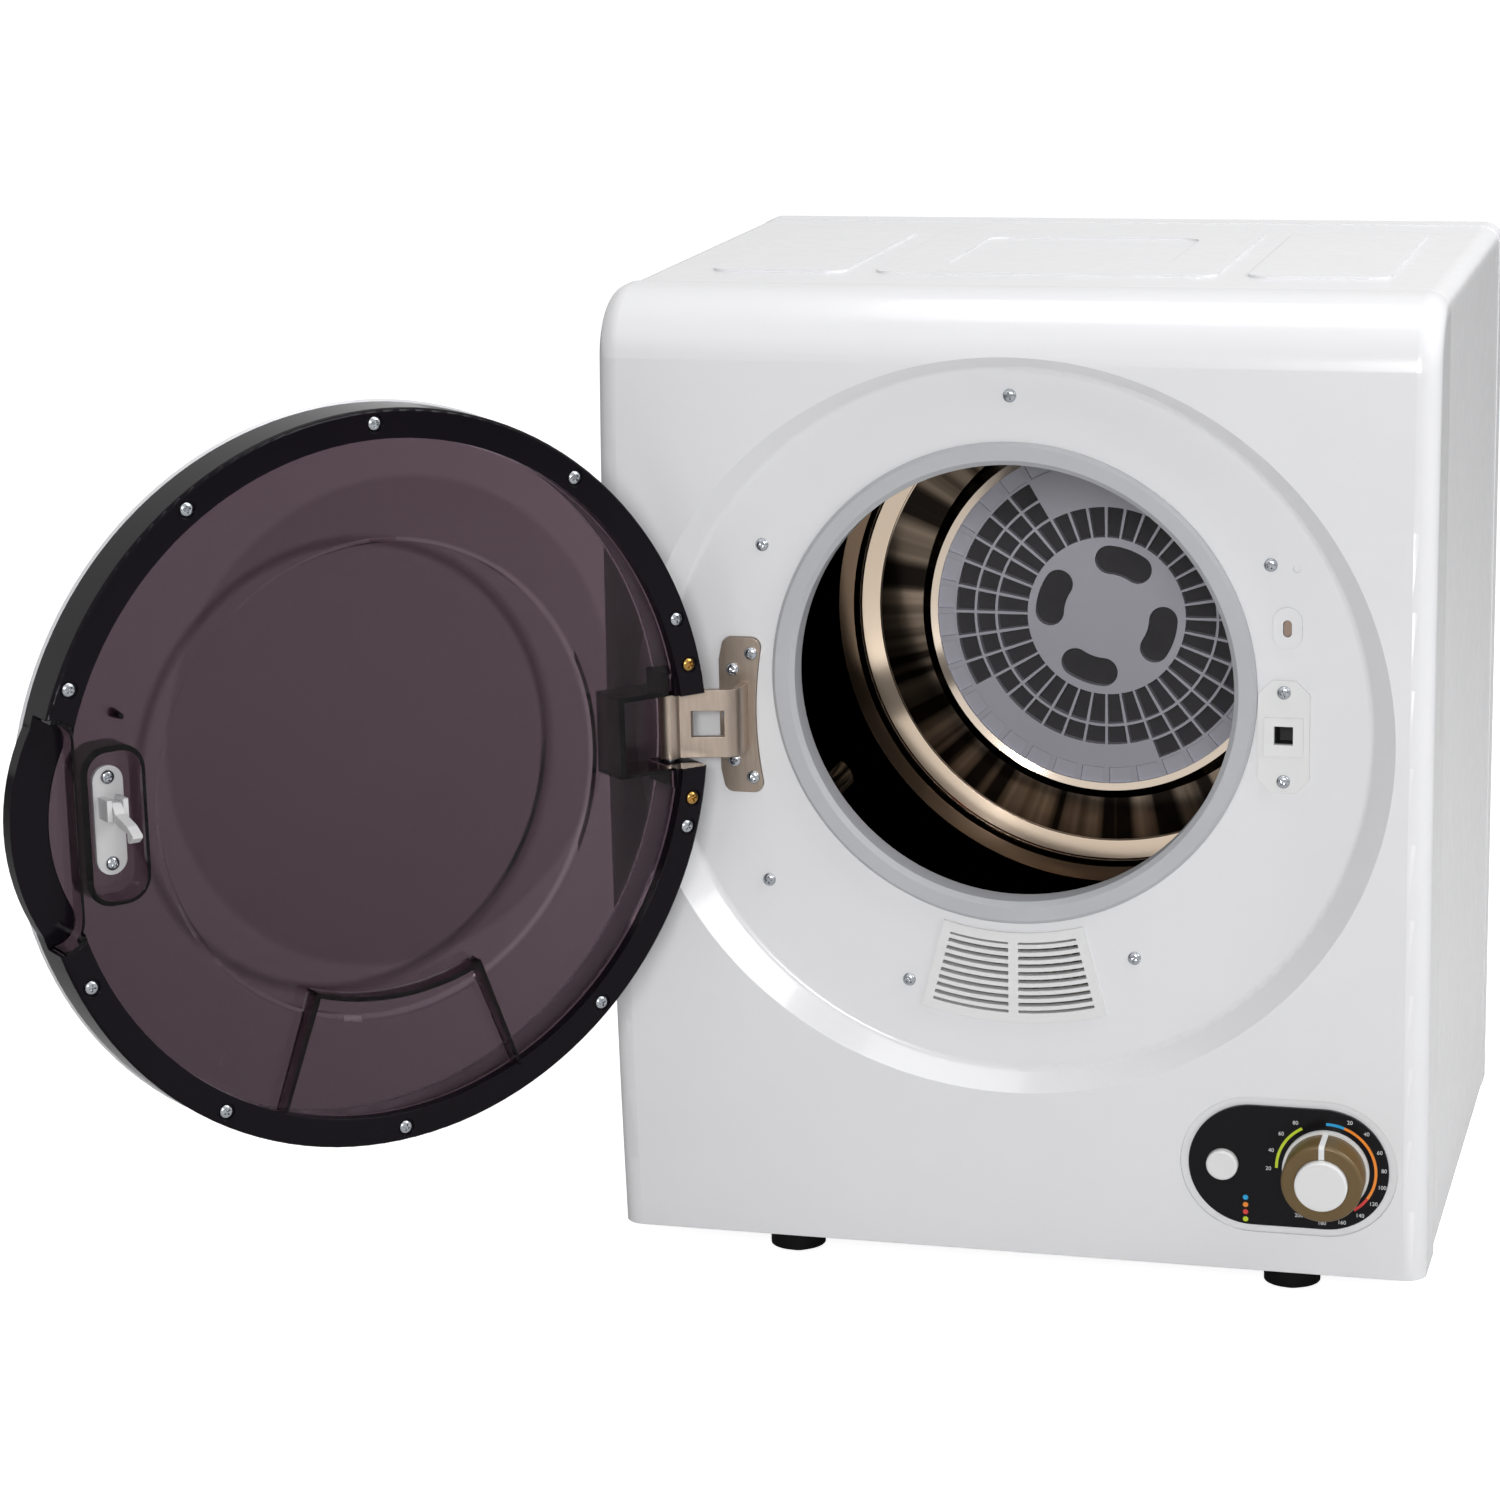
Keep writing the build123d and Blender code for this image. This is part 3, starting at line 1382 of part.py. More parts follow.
def make_hinge_bracket():
    """The cast hinge: a screwed leaf and a bowed strap that reaches into the door's pocket."""
    leaf_back = y_ring + 1.0
    leaf_face = leaf_back - hinge_leaf_thickness
    bracket = prism(leaf_outline(), leaf_face, leaf_back)
    root_x = hinge_leaf_x + 2.0
    crest = hinge_y + 9.0
    half = hinge_arm_thickness / 2
    strap_line = FilletPolyline(
        (root_x, leaf_face + 1.0), (root_x, crest), (hinge_x, hinge_y), radius=9.0
    )
    strap = trace(strap_line, hinge_arm_thickness)
    barrel = Pos(hinge_x, hinge_y) * Circle(hinge_barrel_radius)
    low = drum_axis_z - hinge_arm_width / 2
    arm = extrude(Pos(0, 0, low) * (strap + barrel), amount=hinge_arm_width)
    window = box_between(
        hinge_x + 13.0, root_x - half - 4.0, hinge_y - 30, y_ring, drum_axis_z - 8.0, drum_axis_z + 8.0
    )
    arm -= window
    bracket += arm - box_between(-400, 0, leaf_face + 0.5, 0, 0, 900)
    bracket -= Pos(hinge_x, hinge_y, drum_axis_z) * Cylinder(hinge_pin_radius + shaft_play, 200)
    for x, z in hinge_screw_places:
        bracket -= screw_hole(x, z, y_ring - 8, y_ring + 8)
    return bracket


def make_hinge_pin():
    length = hinge_arm_width + 3.0 + 2 * hinge_boss_length - 5.0
    return Pos(hinge_x, hinge_y, drum_axis_z) * Cylinder(hinge_pin_radius, length)


def make_latch_base():
    """The white latch bracket in the door: round-ended, with two ears for the hook's pin."""
    floor = y_pane - latch_sink
    plate = Pos(strike_x, drum_axis_z) * Rot(0, 0, 90) * SlotOverall(latch_height, latch_width)
    base = prism(plate, floor, floor + 3.0)
    for side in (-1, 1):
        x = strike_x + side * (latch_hook_width / 2 + slip + 1.5)
        base += box_between(x - 1.5, x + 1.5, floor + 3.0, floor + 15.0, drum_axis_z + 2.0, drum_axis_z + 14.0)
    base -= Pos(strike_x, *latch_pivot()) * Rot(0, 90, 0) * Cylinder(1.5 + shaft_play, 40)
    for side in (-1, 1):
        z = drum_axis_z + side * latch_screw_pitch / 2
        base -= screw_hole(strike_x, z, floor - 1, floor + 4)
    return base


def latch_pivot():
    """Depth and height of the hook's pin."""
    return y_pane - latch_sink + 10.0, drum_axis_z + 8.0


def make_latch_hook():
    """The sprung hook, with its pin in one piece: its beak drops behind the strike."""
    y, z = latch_pivot()
    tip = y_ring + latch_reach
    low = drum_axis_z + strike_hole_rise - strike_hole / 2 - latch_bite / 2
    hook = make_face(
        Polyline(
            (y - 4.0, z + 4.0),
            (y + 3.0, z + 4.0),
            (y + 8.0, z - 1.5),
            (tip - latch_beak, low + 9.0),
            (tip, low + 5.0),
            (tip, low + 3.5),
            (tip - latch_beak + 2.5, low),
            (tip - latch_beak, low),
            (tip - latch_beak, low + 5.0),
            (y + 4.0, z - 6.0),
            (y - 4.0, z - 5.0),
            close=True,
        )
    )
    half = latch_hook_width / 2
    body = Pos(strike_x, 0, 0) * extrude(Plane.YZ * hook, amount=half, both=True)
    pin = Cylinder(1.5, latch_hook_width + 2 * slip + 6.0)
    return body + Pos(strike_x, y, z) * Rot(0, 90, 0) * pin


def make_latch_screws():
    floor = y_pane - latch_sink + 3.0
    places = [drum_axis_z + side * latch_screw_pitch / 2 for side in (-1, 1)]
    return group([Pos(strike_x, floor, z) * Rot(-90, 0, 0) * screw(5.0) for z in places])


fixed = {
    "front_panel": make_front_panel,
    "front_bulkhead": make_front_bulkhead,
    "drum_felt": make_drum_felt,
    "mouth_seal": make_mouth_seal,
    "ring_screws": make_ring_screws,
    "cabinet_wrap": make_cabinet_wrap,
    "rear_cover": make_rear_cover,
    "rear_screws": make_rear_screws,
    "cord_bush": make_cord_bush,
    "base_pan": make_base_pan,
    "feet": make_feet,
    "air_grille": make_air_grille,
    "heater_box": make_heater_box,
    "heater_core": make_heater_core,
    "thermostat": make_thermostat,
    "strike_plate": make_strike_plate,
    "strike_screws": make_strike_screws,
    "door_switch": make_door_switch,
    "switch_plunger": make_switch_plunger,
    "hinge_bracket": make_hinge_bracket,
    "hinge_screws": make_hinge_screws,
    "control_fascia": make_control_fascia,
    "timer": make_timer,
    "timer_shaft": make_timer_shaft,
    "knob_flange": make_knob_flange,
    "knob_skirt": make_knob_skirt,
    "knob_cap": make_knob_cap,
    "knob_pointer": make_knob_pointer,
    "heat_switch": make_heat_switch,
    "heat_button": make_heat_button,
    "drum_shell": make_drum_shell,
    "drum_back": make_drum_back,
    "drum_lifters": make_drum_lifters,
    "drum_spider": make_drum_spider,
    "drum_shaft": make_drum_shaft,
    "lint_mesh": make_lint_mesh,
    "filter_cover": make_filter_cover,
    "rear_bulkhead": make_rear_bulkhead,
    "rear_bearing": make_rear_bearing,
    "fan_scroll": make_fan_scroll,
    "fan_wheel": make_fan_wheel,
    "motor": make_motor,
    "motor_shaft": make_motor_shaft,
    "motor_bracket": make_motor_bracket,
    "capacitor": make_capacitor,
    "drum_belt": make_drum_belt,
    "fan_belt": make_fan_belt,
}
on_door = {
    "door_frame": make_door_frame,
    "door_inner_pane": make_door_inner_pane,
    "door_outer_pane": make_door_outer_pane,
    "door_trim_ring": make_door_trim_ring,
    "door_screws": make_door_screws,
    "boss_screws": make_boss_screws,
    "hinge_pin": make_hinge_pin,
    "latch_base": make_latch_base,
    "latch_hook": make_latch_hook,
    "latch_screws": make_latch_screws,
}

os.makedirs("parts", exist_ok=True)
for name, make in fixed.items():
    export_step(make(), os.path.join("parts", name + ".step"))
for name, make in on_door.items():
    export_step(swing(make()), os.path.join("parts", name + ".step"))
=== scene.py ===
import json
import math

import bmesh
import bpy
from mathutils import Matrix, Vector

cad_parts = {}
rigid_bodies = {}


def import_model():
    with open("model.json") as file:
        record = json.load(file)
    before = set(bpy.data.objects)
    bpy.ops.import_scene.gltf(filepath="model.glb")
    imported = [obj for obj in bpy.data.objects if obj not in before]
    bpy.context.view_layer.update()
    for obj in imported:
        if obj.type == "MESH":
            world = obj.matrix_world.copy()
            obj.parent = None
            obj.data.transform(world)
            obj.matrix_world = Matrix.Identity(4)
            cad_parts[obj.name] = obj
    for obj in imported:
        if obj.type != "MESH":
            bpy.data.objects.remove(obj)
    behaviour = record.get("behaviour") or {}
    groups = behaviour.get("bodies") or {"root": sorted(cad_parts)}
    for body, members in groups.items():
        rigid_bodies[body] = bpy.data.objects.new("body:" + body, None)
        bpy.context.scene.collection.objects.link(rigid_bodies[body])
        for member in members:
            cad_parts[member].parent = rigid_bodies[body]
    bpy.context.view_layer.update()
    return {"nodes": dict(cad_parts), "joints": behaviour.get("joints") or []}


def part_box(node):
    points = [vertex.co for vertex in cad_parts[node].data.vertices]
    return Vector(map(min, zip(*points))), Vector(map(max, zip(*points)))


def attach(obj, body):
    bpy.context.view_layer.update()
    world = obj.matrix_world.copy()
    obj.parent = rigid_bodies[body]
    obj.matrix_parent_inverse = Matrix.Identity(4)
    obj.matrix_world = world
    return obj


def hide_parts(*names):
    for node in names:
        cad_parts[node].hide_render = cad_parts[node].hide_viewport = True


for leftover in list(bpy.data.objects):
    bpy.data.objects.remove(leftover)
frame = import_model()
nodes = frame["nodes"]


# Feet
# Four tapered feet moulded in black rubber, pushed with their stems through holes in the base pan.
# They are the only part of the dryer that touches the floor.


def linear(colour):
    """An sRGB hex colour as the linear RGBA that the shader nodes take."""
    parts = [int(colour[i : i + 2], 16) / 255 for i in (1, 3, 5)]
    parts = [p / 12.92 if p <= 0.04045 else ((p + 0.055) / 1.055) ** 2.4 for p in parts]
    return (*parts, 1.0)


def add_node(material, kind, settings=None, **inputs):
    """Adds a node: settings are its own options, inputs are values or the sockets to link from."""
    node = material.node_tree.nodes.new(kind)
    for option, value in (settings or {}).items():
        setattr(node, option, value)
    sockets = {socket.identifier: socket for socket in node.inputs}
    for name, value in inputs.items():
        socket = sockets.get(name) or sockets[name.replace("_", " ")]
        if isinstance(value, bpy.types.NodeSocket):
            material.node_tree.links.new(value, socket)
        else:
            socket.default_value = value
    return node


def new_finish(name, **shader):
    """A material with one shader, and the part's own coordinates in metres."""
    material = bpy.data.materials.new(name)
    material.use_nodes = True
    material.node_tree.nodes.clear()
    surface = add_node(material, "ShaderNodeBsdfPrincipled", **shader)
    add_node(material, "ShaderNodeOutputMaterial", Surface=surface.outputs["BSDF"])
    place = add_node(material, "ShaderNodeTexCoord").outputs["Object"]
    return material, surface, place


def link(material, source, shader, name):
    material.node_tree.links.new(source, shader.inputs[name])


def mingle(material, shader, name, pattern, low, high):
    """Takes a colour or a number of the shader from one value to another as a pattern goes 0 to 1."""
    kind, tail = ("RGBA", "Color") if isinstance(high, tuple) else ("FLOAT", "Float")
    ends = {"A_" + tail: low, "B_" + tail: high}
    blend = add_node(material, "ShaderNodeMix", {"data_type": kind}, Factor_Float=pattern, **ends)
    result = next(s for s in blend.outputs if s.identifier == "Result_" + tail)
    link(material, result, shader, name)


def uneven(material, shader, place, name, size_mm, low, high, detail=4.0):
    """Lets a colour or a number of the shader wander between two values in patches of this size."""
    patches = add_node(material, "ShaderNodeTexNoise", Vector=place, Scale=1000 / size_mm, Detail=detail)
    mingle(material, shader, name, patches.outputs["Fac"], low, high)


def relief(material, shader, height, depth_mm, edge_mm):
    """Raises a height pattern on the surface and softens the edges as a mould or a tumbler does."""
    edge = add_node(material, "ShaderNodeBevel", {"samples": 4}, Radius=edge_mm / 1000)
    bump = add_node(
        material,
        "ShaderNodeBump",
        Height=height,
        Distance=depth_mm / 1000,
        Strength=1.0,
        Normal=edge.outputs["Normal"],
    )
    link(material, bump.outputs["Normal"], shader, "Normal")


def moulded(name, colour, shade, roughness, grain_mm, depth_mm, edge_mm=0.4, **shader):
    """A moulded or sprayed finish: faint patches of shade, uneven gloss and a fine surface grain."""
    material, surface, place = new_finish(name, **shader)
    uneven(material, surface, place, "Base Color", 60.0, linear(colour), linear(shade))
    uneven(material, surface, place, "Roughness", 9.0, roughness * 0.85, roughness * 1.15)
    grain = add_node(material, "ShaderNodeTexNoise", Vector=place, Scale=1000 / grain_mm, Detail=3.0)
    relief(material, surface, grain.outputs["Fac"], depth_mm, edge_mm)
    return material


def dress(material, *names):
    """Gives CAD pieces their finish."""
    for name in names:
        nodes[name].data.materials.clear()
        nodes[name].data.materials.append(material)


# Natural rubber, pressed in a mould: matte black, greyed a little by dust, with a fine dry grain.
black_rubber = moulded("black_rubber", "#0d0d0e", "#171718", 0.72, 0.7, 0.03, 0.8, Specular_IOR_Level=0.1)
dress(black_rubber, "feet")


# Base pan
# A tray of galvanised sheet steel, cut and folded, that carries the motor and closes the cabinet
# from below.

# Hot-dip galvanised steel: dull zinc whose crystals, about 9 mm across, differ in shade and gloss.
galvanised_steel, surface, place = new_finish("galvanised_steel", Metallic=1.0)
spangle = add_node(galvanised_steel, "ShaderNodeTexVoronoi", Vector=place, Scale=1000 / 9.0)
shade = spangle.outputs["Color"]
mingle(galvanised_steel, surface, "Base Color", shade, linear("#8d9196"), linear("#b9bcc0"))
mingle(galvanised_steel, surface, "Roughness", shade, 0.34, 0.52)
relief(galvanised_steel, surface, spangle.outputs["Distance"], 0.02, 0.1)
dress(galvanised_steel, "base_pan")


# Motor, bracket and capacitor
# An induction motor in a painted steel can lies on the base pan in a folded galvanised bracket. Its
# turned steel shaft carries one pulley for the drum and one for the fan; the capacitor is clipped on.

# Stoved enamel on a pressed can: near black, satin, with a slight orange peel.
motor_enamel = moulded("motor_enamel", "#1d1d20", "#29292c", 0.38, 2.0, 0.02, 0.6)
dress(motor_enamel, "motor")
dress(galvanised_steel, "motor_bracket")


def turned(name, colour, shade, roughness, line_mm, depth_mm, stretch, edge_mm=0.3):
    """Bare metal worked in one direction: fine lines that are long where stretch is small."""
    material, surface, place = new_finish(name, Metallic=1.0)
    along = add_node(material, "ShaderNodeMapping", Vector=place, Scale=stretch).outputs["Vector"]
    lines = add_node(material, "ShaderNodeTexNoise", Vector=along, Scale=1000 / line_mm, Detail=5.0)
    uneven(material, surface, along, "Base Color", 4 * line_mm, linear(colour), linear(shade))
    uneven(material, surface, along, "Roughness", 2 * line_mm, roughness * 0.75, roughness * 1.3)
    relief(material, surface, lines.outputs["Fac"], depth_mm, edge_mm)
    return material


# Mild steel bar, turned: grey, with fine rings left by the tool.
turned_steel = turned("turned_steel", "#a5a6a8", "#87888a", 0.38, 0.6, 0.01, (0.05, 1.0, 0.05))
dress(turned_steel, "motor_shaft")

# Drawn aluminium can: pale, soft sheen, lines along its length.
drawn_aluminium = turned("drawn_aluminium", "#c9cbcd", "#b3b5b8", 0.38, 0.8, 0.01, (1.0, 0.08, 1.0))
dress(drawn_aluminium, "capacitor")


# Drum
# The wall is rolled from polished stainless sheet with two stiffening beads, seamed to a pressed back;
# three folded lifters are riveted inside. It turns on a shaft in a cast spider behind it.

# Polished stainless: dark warm mirror, with faint hoop lines about 1.5 mm apart from rolling, which
# draw every reflection out along the drum.
stainless_sheet = ("#8f8375", "#6b6055", 0.08, 1.5, 0.006, (0.02, 1.0, 0.02), 0.1)
polished_stainless = turned("polished_stainless", *stainless_sheet)
dress(polished_stainless, "drum_lifters")

# Wall and back are the same sheet. Light and dark bands about 22 mm wide, along the drum and out from
# its middle, are painted reflection streaks in the base colour. The wall is darkest, with painted shade.
# The rings spun into the back and the rim round the filter are painted paler, as painted highlights, and
# lean inwards in the shading, so they face the mouth.
streak_mm = 22.0
drum_stainless = turned("drum_stainless", *stainless_sheet)
parts = drum_stainless.node_tree.nodes
surface = next(n for n in parts if n.type == "BSDF_PRINCIPLED")
surface.inputs["Specular Tint"].default_value = linear("#7d6e60")
place = next(n for n in parts if n.type == "TEX_COORD").outputs["Object"]
rolled = surface.inputs["Normal"].links[0].from_socket
drum_low, drum_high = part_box("drum_shell")
drum_middle = (drum_low + drum_high) / 2
spoke = place
for operation, amount in (("SUBTRACT", drum_middle), ("MULTIPLY", (1.0, 0.0, 1.0))):
    spoke = add_node(
        drum_stainless, "ShaderNodeVectorMath", {"operation": operation}, Vector=spoke, Vector_001=amount
    ).outputs["Vector"]
reach = add_node(
    drum_stainless, "ShaderNodeVectorMath", {"operation": "LENGTH"}, Vector=spoke
).outputs["Value"]
spoke = add_node(drum_stainless, "ShaderNodeVectorMath", {"operation": "NORMALIZE"}, Vector=spoke)
# Painted reflection streaks: light and dark base colour that changes with the angle round the drum's axis.
painted_streaks = add_node(
    drum_stainless,
    "ShaderNodeTexNoise",
    Vector=spoke.outputs["Vector"],
    Scale=500 * (drum_high.x - drum_low.x) / streak_mm,
    Detail=2.0,
)
painted_streaks = add_node(
    drum_stainless, "ShaderNodeMapRange", Value=painted_streaks.outputs["Fac"], From_Min=0.42, From_Max=0.68
)
mingle(
    drum_stainless, surface, "Base Color", painted_streaks.outputs["Result"], linear("#1f1a16"), linear("#8f7f6f")
)

# From the filter's rim out to the wall: inner and outer radius, painted colour, and how steeply the ring
# leans. The two pale colours are painted highlights, the third a dimmer one, the last painted shade.
rise = 0.0
for inner, outer, colour, lean in (
    (0.1137, 0.1190, "#e6d6c4", 0.26),
    (0.1535, 0.1680, "#e6d2bc", 0.0),
    (0.1705, 0.1815, "#7d6a58", 0.26),
    (0.1835, 0.2100, "#463d35", 0.0),
):
    painted_band = add_node(
        drum_stainless,
        "ShaderNodeMath",
        {"operation": "COMPARE"},
        Value=reach,
        Value_001=(inner + outer) / 2,
        Value_002=(outer - inner) / 2,
    )
    sheet = surface.inputs["Base Color"].links[0].from_socket
    mingle(drum_stainless, surface, "Base Color", painted_band.outputs["Value"], sheet, linear(colour))
    slope = add_node(
        drum_stainless,
        "ShaderNodeMapRange",
        Value=reach,
        From_Min=inner,
        From_Max=outer,
        To_Max=lean * (outer - inner),
    )
    rise = add_node(
        drum_stainless,
        "ShaderNodeMath",
        {"operation": "ADD"},
        Value=slope.outputs["Result"],
        Value_001=rise,
    ).outputs["Value"]
spun = add_node(drum_stainless, "ShaderNodeBump", Height=rise, Distance=1.0, Strength=1.0, Normal=rolled)
link(drum_stainless, spun.outputs["Normal"], surface, "Normal")
dress(drum_stainless, "drum_shell", "drum_back")


def mesh_piece(name, shape, material, body, sharp_from=35.0):
    """Turns a built shape into a piece that rides a body, smooth but for its sharp edges."""
    mesh = bpy.data.meshes.new(name)
    bmesh.ops.recalc_face_normals(shape, faces=shape.faces)
    shape.to_mesh(mesh)
    shape.free()
    mesh.materials.append(material)
    piece = bpy.data.objects.new(name, mesh)
    bpy.context.scene.collection.objects.link(piece)
    for face in mesh.polygons:
        face.use_smooth = True
    mesh.set_sharp_from_angle(angle=math.radians(sharp_from))
    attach(piece, body)
    return piece


# The widest of the rings: a hoop of the same sheet, 1.1 mm proud, seamed to the back's dished face and
# painted pale as a painted highlight. Each of its rows gives a radius and how far the hoop stands out
# there; below nought it is let into the sheet.
dish_radius = 0.168
dish_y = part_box("drum_back")[0].y + 0.005
dish_slope = 8.0 / 43.5
hoop_rows = [(0.1540, -0.0004), (0.1546, 0.0003), (0.1661, 0.0011), (0.1669, 0.0009)]
hoop_rows += [(0.1675, -0.0004)]
hoop_steps = 144
shape = bmesh.new()
profile = [
    shape.verts.new((r, dish_y + dish_slope * (dish_radius - r) - proud, 0.0)) for r, proud in hoop_rows
]
edges = [shape.edges.new(pair) for pair in zip(profile, profile[1:] + profile[:1])]
bmesh.ops.spin(
    shape,
    geom=profile + edges,
    axis=(0, 1, 0),
    cent=(0, 0, 0),
    steps=hoop_steps,
    angle=math.tau,
)
bmesh.ops.remove_doubles(shape, verts=shape.verts, dist=1e-6)
bmesh.ops.translate(shape, verts=shape.verts, vec=drum_middle * Vector((1, 0, 1)))
hoop = mesh_piece("drum_back_hoop", shape, drum_stainless, "drum", sharp_from=5.0)

# Pressure-cast aluminium: dull silver with the sandy skin that the die leaves.
cast_aluminium = moulded("cast_aluminium", "#a9abad", "#939598", 0.5, 1.2, 0.06, 0.8, Metallic=1.0)
dress(cast_aluminium, "drum_spider")
dress(turned_steel, "drum_shaft")


# Lint filter
# A round cover moulded in grey plastic, ribbed like a wheel, with four kidney holes for fingers. It
# snaps over a disc of dark filter cloth in the middle of the drum's back.

# Moulded polypropylene: mid grey with a touch of violet and a soft satin skin.
grey_polypropylene = moulded("grey_polypropylene", "#d3d2dc", "#cac9d4", 0.42, 0.9, 0.015, 0.5)
dress(grey_polypropylene, "filter_cover")

# A hoop of the drum's stainless is rolled over the cover's edge; its bright band is a painted highlight.
rim_radius = 0.1138
cover = nodes["filter_cover"].data
cover.materials.append(drum_stainless)
cover_low, cover_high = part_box("filter_cover")
cover_middle = (cover_low + cover_high) / 2
for face in cover.polygons:
    arm = face.center - cover_middle
    if math.hypot(arm.x, arm.z) > rim_radius:
        face.material_index = 1

# Woven polyester filter cloth: threads every 0.5 mm are too fine to show, so they are drawn 1.6 mm
# apart. Charcoal, dull, with a little sheen from the fibres.
filter_cloth, surface, place = new_finish("filter_cloth", Sheen_Weight=0.25, Sheen_Roughness=0.5)
uneven(filter_cloth, surface, place, "Base Color", 12.0, linear("#3c3a3d"), linear("#4a474a"))
uneven(filter_cloth, surface, place, "Roughness", 6.0, 0.75, 0.95)
warp, weft = [
    add_node(
        filter_cloth,
        "ShaderNodeTexWave",
        {"bands_direction": direction},
        Vector=place,
        Scale=1000 / 1.6 / 20,
        Distortion=0.3,
    ).outputs["Fac"]
    for direction in ("X", "Z")
]
weave = add_node(filter_cloth, "ShaderNodeMath", {"operation": "ADD"}, Value=warp, Value_001=weft)
relief(filter_cloth, surface, weave.outputs["Value"], 0.2, 0.3)
dress(filter_cloth, "lint_mesh")


# Rear bulkhead, bearing and fan
# A galvanised bulkhead behind the drum carries the shaft in a bronze bush. The moulded fan runs in a
# moulded scroll on it, and blows damp air out through the round outlet in the back.

# Glass-filled polypropylene: charcoal and dull, with fine flow marks.
filled_polypropylene = moulded("filled_polypropylene", "#3a3a3c", "#454547", 0.58, 0.8, 0.03, 0.5)
dress(filled_polypropylene, "fan_wheel", "fan_scroll")
dress(galvanised_steel, "rear_bulkhead")

# Sintered bronze, oil-soaked: brown, open-grained and dull.
sintered_bronze = moulded("sintered_bronze", "#8a6a42", "#74583a", 0.48, 0.5, 0.04, 0.3, Metallic=1.0)
dress(sintered_bronze, "rear_bearing")


# Belts
# Two ribbed rubber belts take the motor's turn to the drum and to the fan's pulley.

dress(black_rubber, "drum_belt", "fan_belt")


# Heater
# A folded galvanised box behind the grille holds a block of ceramic heating fins; a thermostat in a
# ceramic cup is screwed to its side.

dress(galvanised_steel, "heater_box")

# Fired heater ceramic: warm buff, chalky, lightly pitted.
heater_ceramic = moulded("heater_ceramic", "#b5a68f", "#a2937d", 0.8, 1.0, 0.06, 0.4)
dress(heater_ceramic, "heater_core", "thermostat")


# Front bulkhead and felt
# A galvanised ring with a turned-in collar; the drum's open end runs round it on a band of felt that
# is glued on.

dress(galvanised_steel, "front_bulkhead")

# Pressed wool felt: mid grey, fuzzy, fibres in every direction about 1 mm apart.
wool_felt, surface, place = new_finish("wool_felt", Sheen_Weight=0.6, Sheen_Roughness=0.6)
uneven(wool_felt, surface, place, "Base Color", 2.5, linear("#77777a"), linear("#8f8f92"), 8.0)
uneven(wool_felt, surface, place, "Roughness", 2.0, 0.85, 1.0)
fibres = add_node(wool_felt, "ShaderNodeTexNoise", Vector=place, Scale=1000 / 1.0, Detail=8.0)
relief(wool_felt, surface, fibres.outputs["Fac"], 0.5, 0.5)
dress(wool_felt, "drum_felt")


# Front moulding
# One bowed moulding makes the whole front: the round recess, the loading mouth and a shallow place for
# the fascia. It snaps over the front edge of the wrap.

# High-gloss ABS: cool white, hard mirror-like skin with the very slight wave of a big moulding.
white_abs = moulded(
    "white_abs", "#e6e6e8", "#e2e2e4", 0.2, 22.0, 0.05, 0.6, Coat_Weight=0.25, Coat_Roughness=0.06
)
dress(white_abs, "front_panel")


# Mouth seal and grille
# A pale rubber lip is pressed round the mouth for the door to close on. Below it a white grille snaps
# in over the heater; its curved slots draw in the room's air.

# Moulded thermoplastic rubber: light grey, satin, a little darker where it flexes.
pale_rubber = moulded("pale_rubber", "#bcbdc1", "#aeafb3", 0.46, 0.8, 0.02, 0.8)
dress(pale_rubber, "mouth_seal")

# Satin ABS: off-white with a fine spark-eroded grain.
satin_abs = moulded("satin_abs", "#e4e4e4", "#dedede", 0.38, 0.6, 0.012, 0.4)
dress(satin_abs, "air_grille")


# Wrap, back and cord bush
# The top and sides are one sheet of steel bent over and sprayed white, with three fields pressed into
# the top. The back is a pressed cover with louvres, a bush for the cord and the round outlet.

# White enamelled steel: like the moulding in colour, with the slight wave of a long flat sheet.
white_enamel = moulded("white_enamel", "#e7e7e9", "#e2e2e4", 0.23, 30.0, 0.03, 0.4)
dress(white_enamel, "cabinet_wrap", "rear_cover")
dress(black_rubber, "cord_bush")


# Screws in the cabinet
# Pan-head screws with a cross recess, cold-headed from wire and zinc plated. They hold the moulding to
# the bulkhead, the strike and hinge to the moulding, and the back cover to the wrap.


def islands(node):
    """The separate solids of a CAD piece, each as a list of its points."""
    shape = bmesh.new()
    shape.from_mesh(nodes[node].data)
    bmesh.ops.remove_doubles(shape, verts=shape.verts, dist=1e-6)
    waiting = set(shape.verts)
    groups = []
    for seed in shape.verts:
        if seed not in waiting:
            continue
        waiting.discard(seed)
        front = [seed]
        group = []
        while front:
            point = front.pop()
            group.append(point.co.copy())
            for edge in point.link_edges:
                other = edge.other_vert(point)
                if other in waiting:
                    waiting.discard(other)
                    front.append(other)
        groups.append(group)
    shape.free()
    return groups


head_radius = 0.004
head_height = 0.002
shank_radius = 0.0019
shank_length = 0.005
cross_reach = 0.0027
cross_width = 0.00105
cross_depth = 0.0015


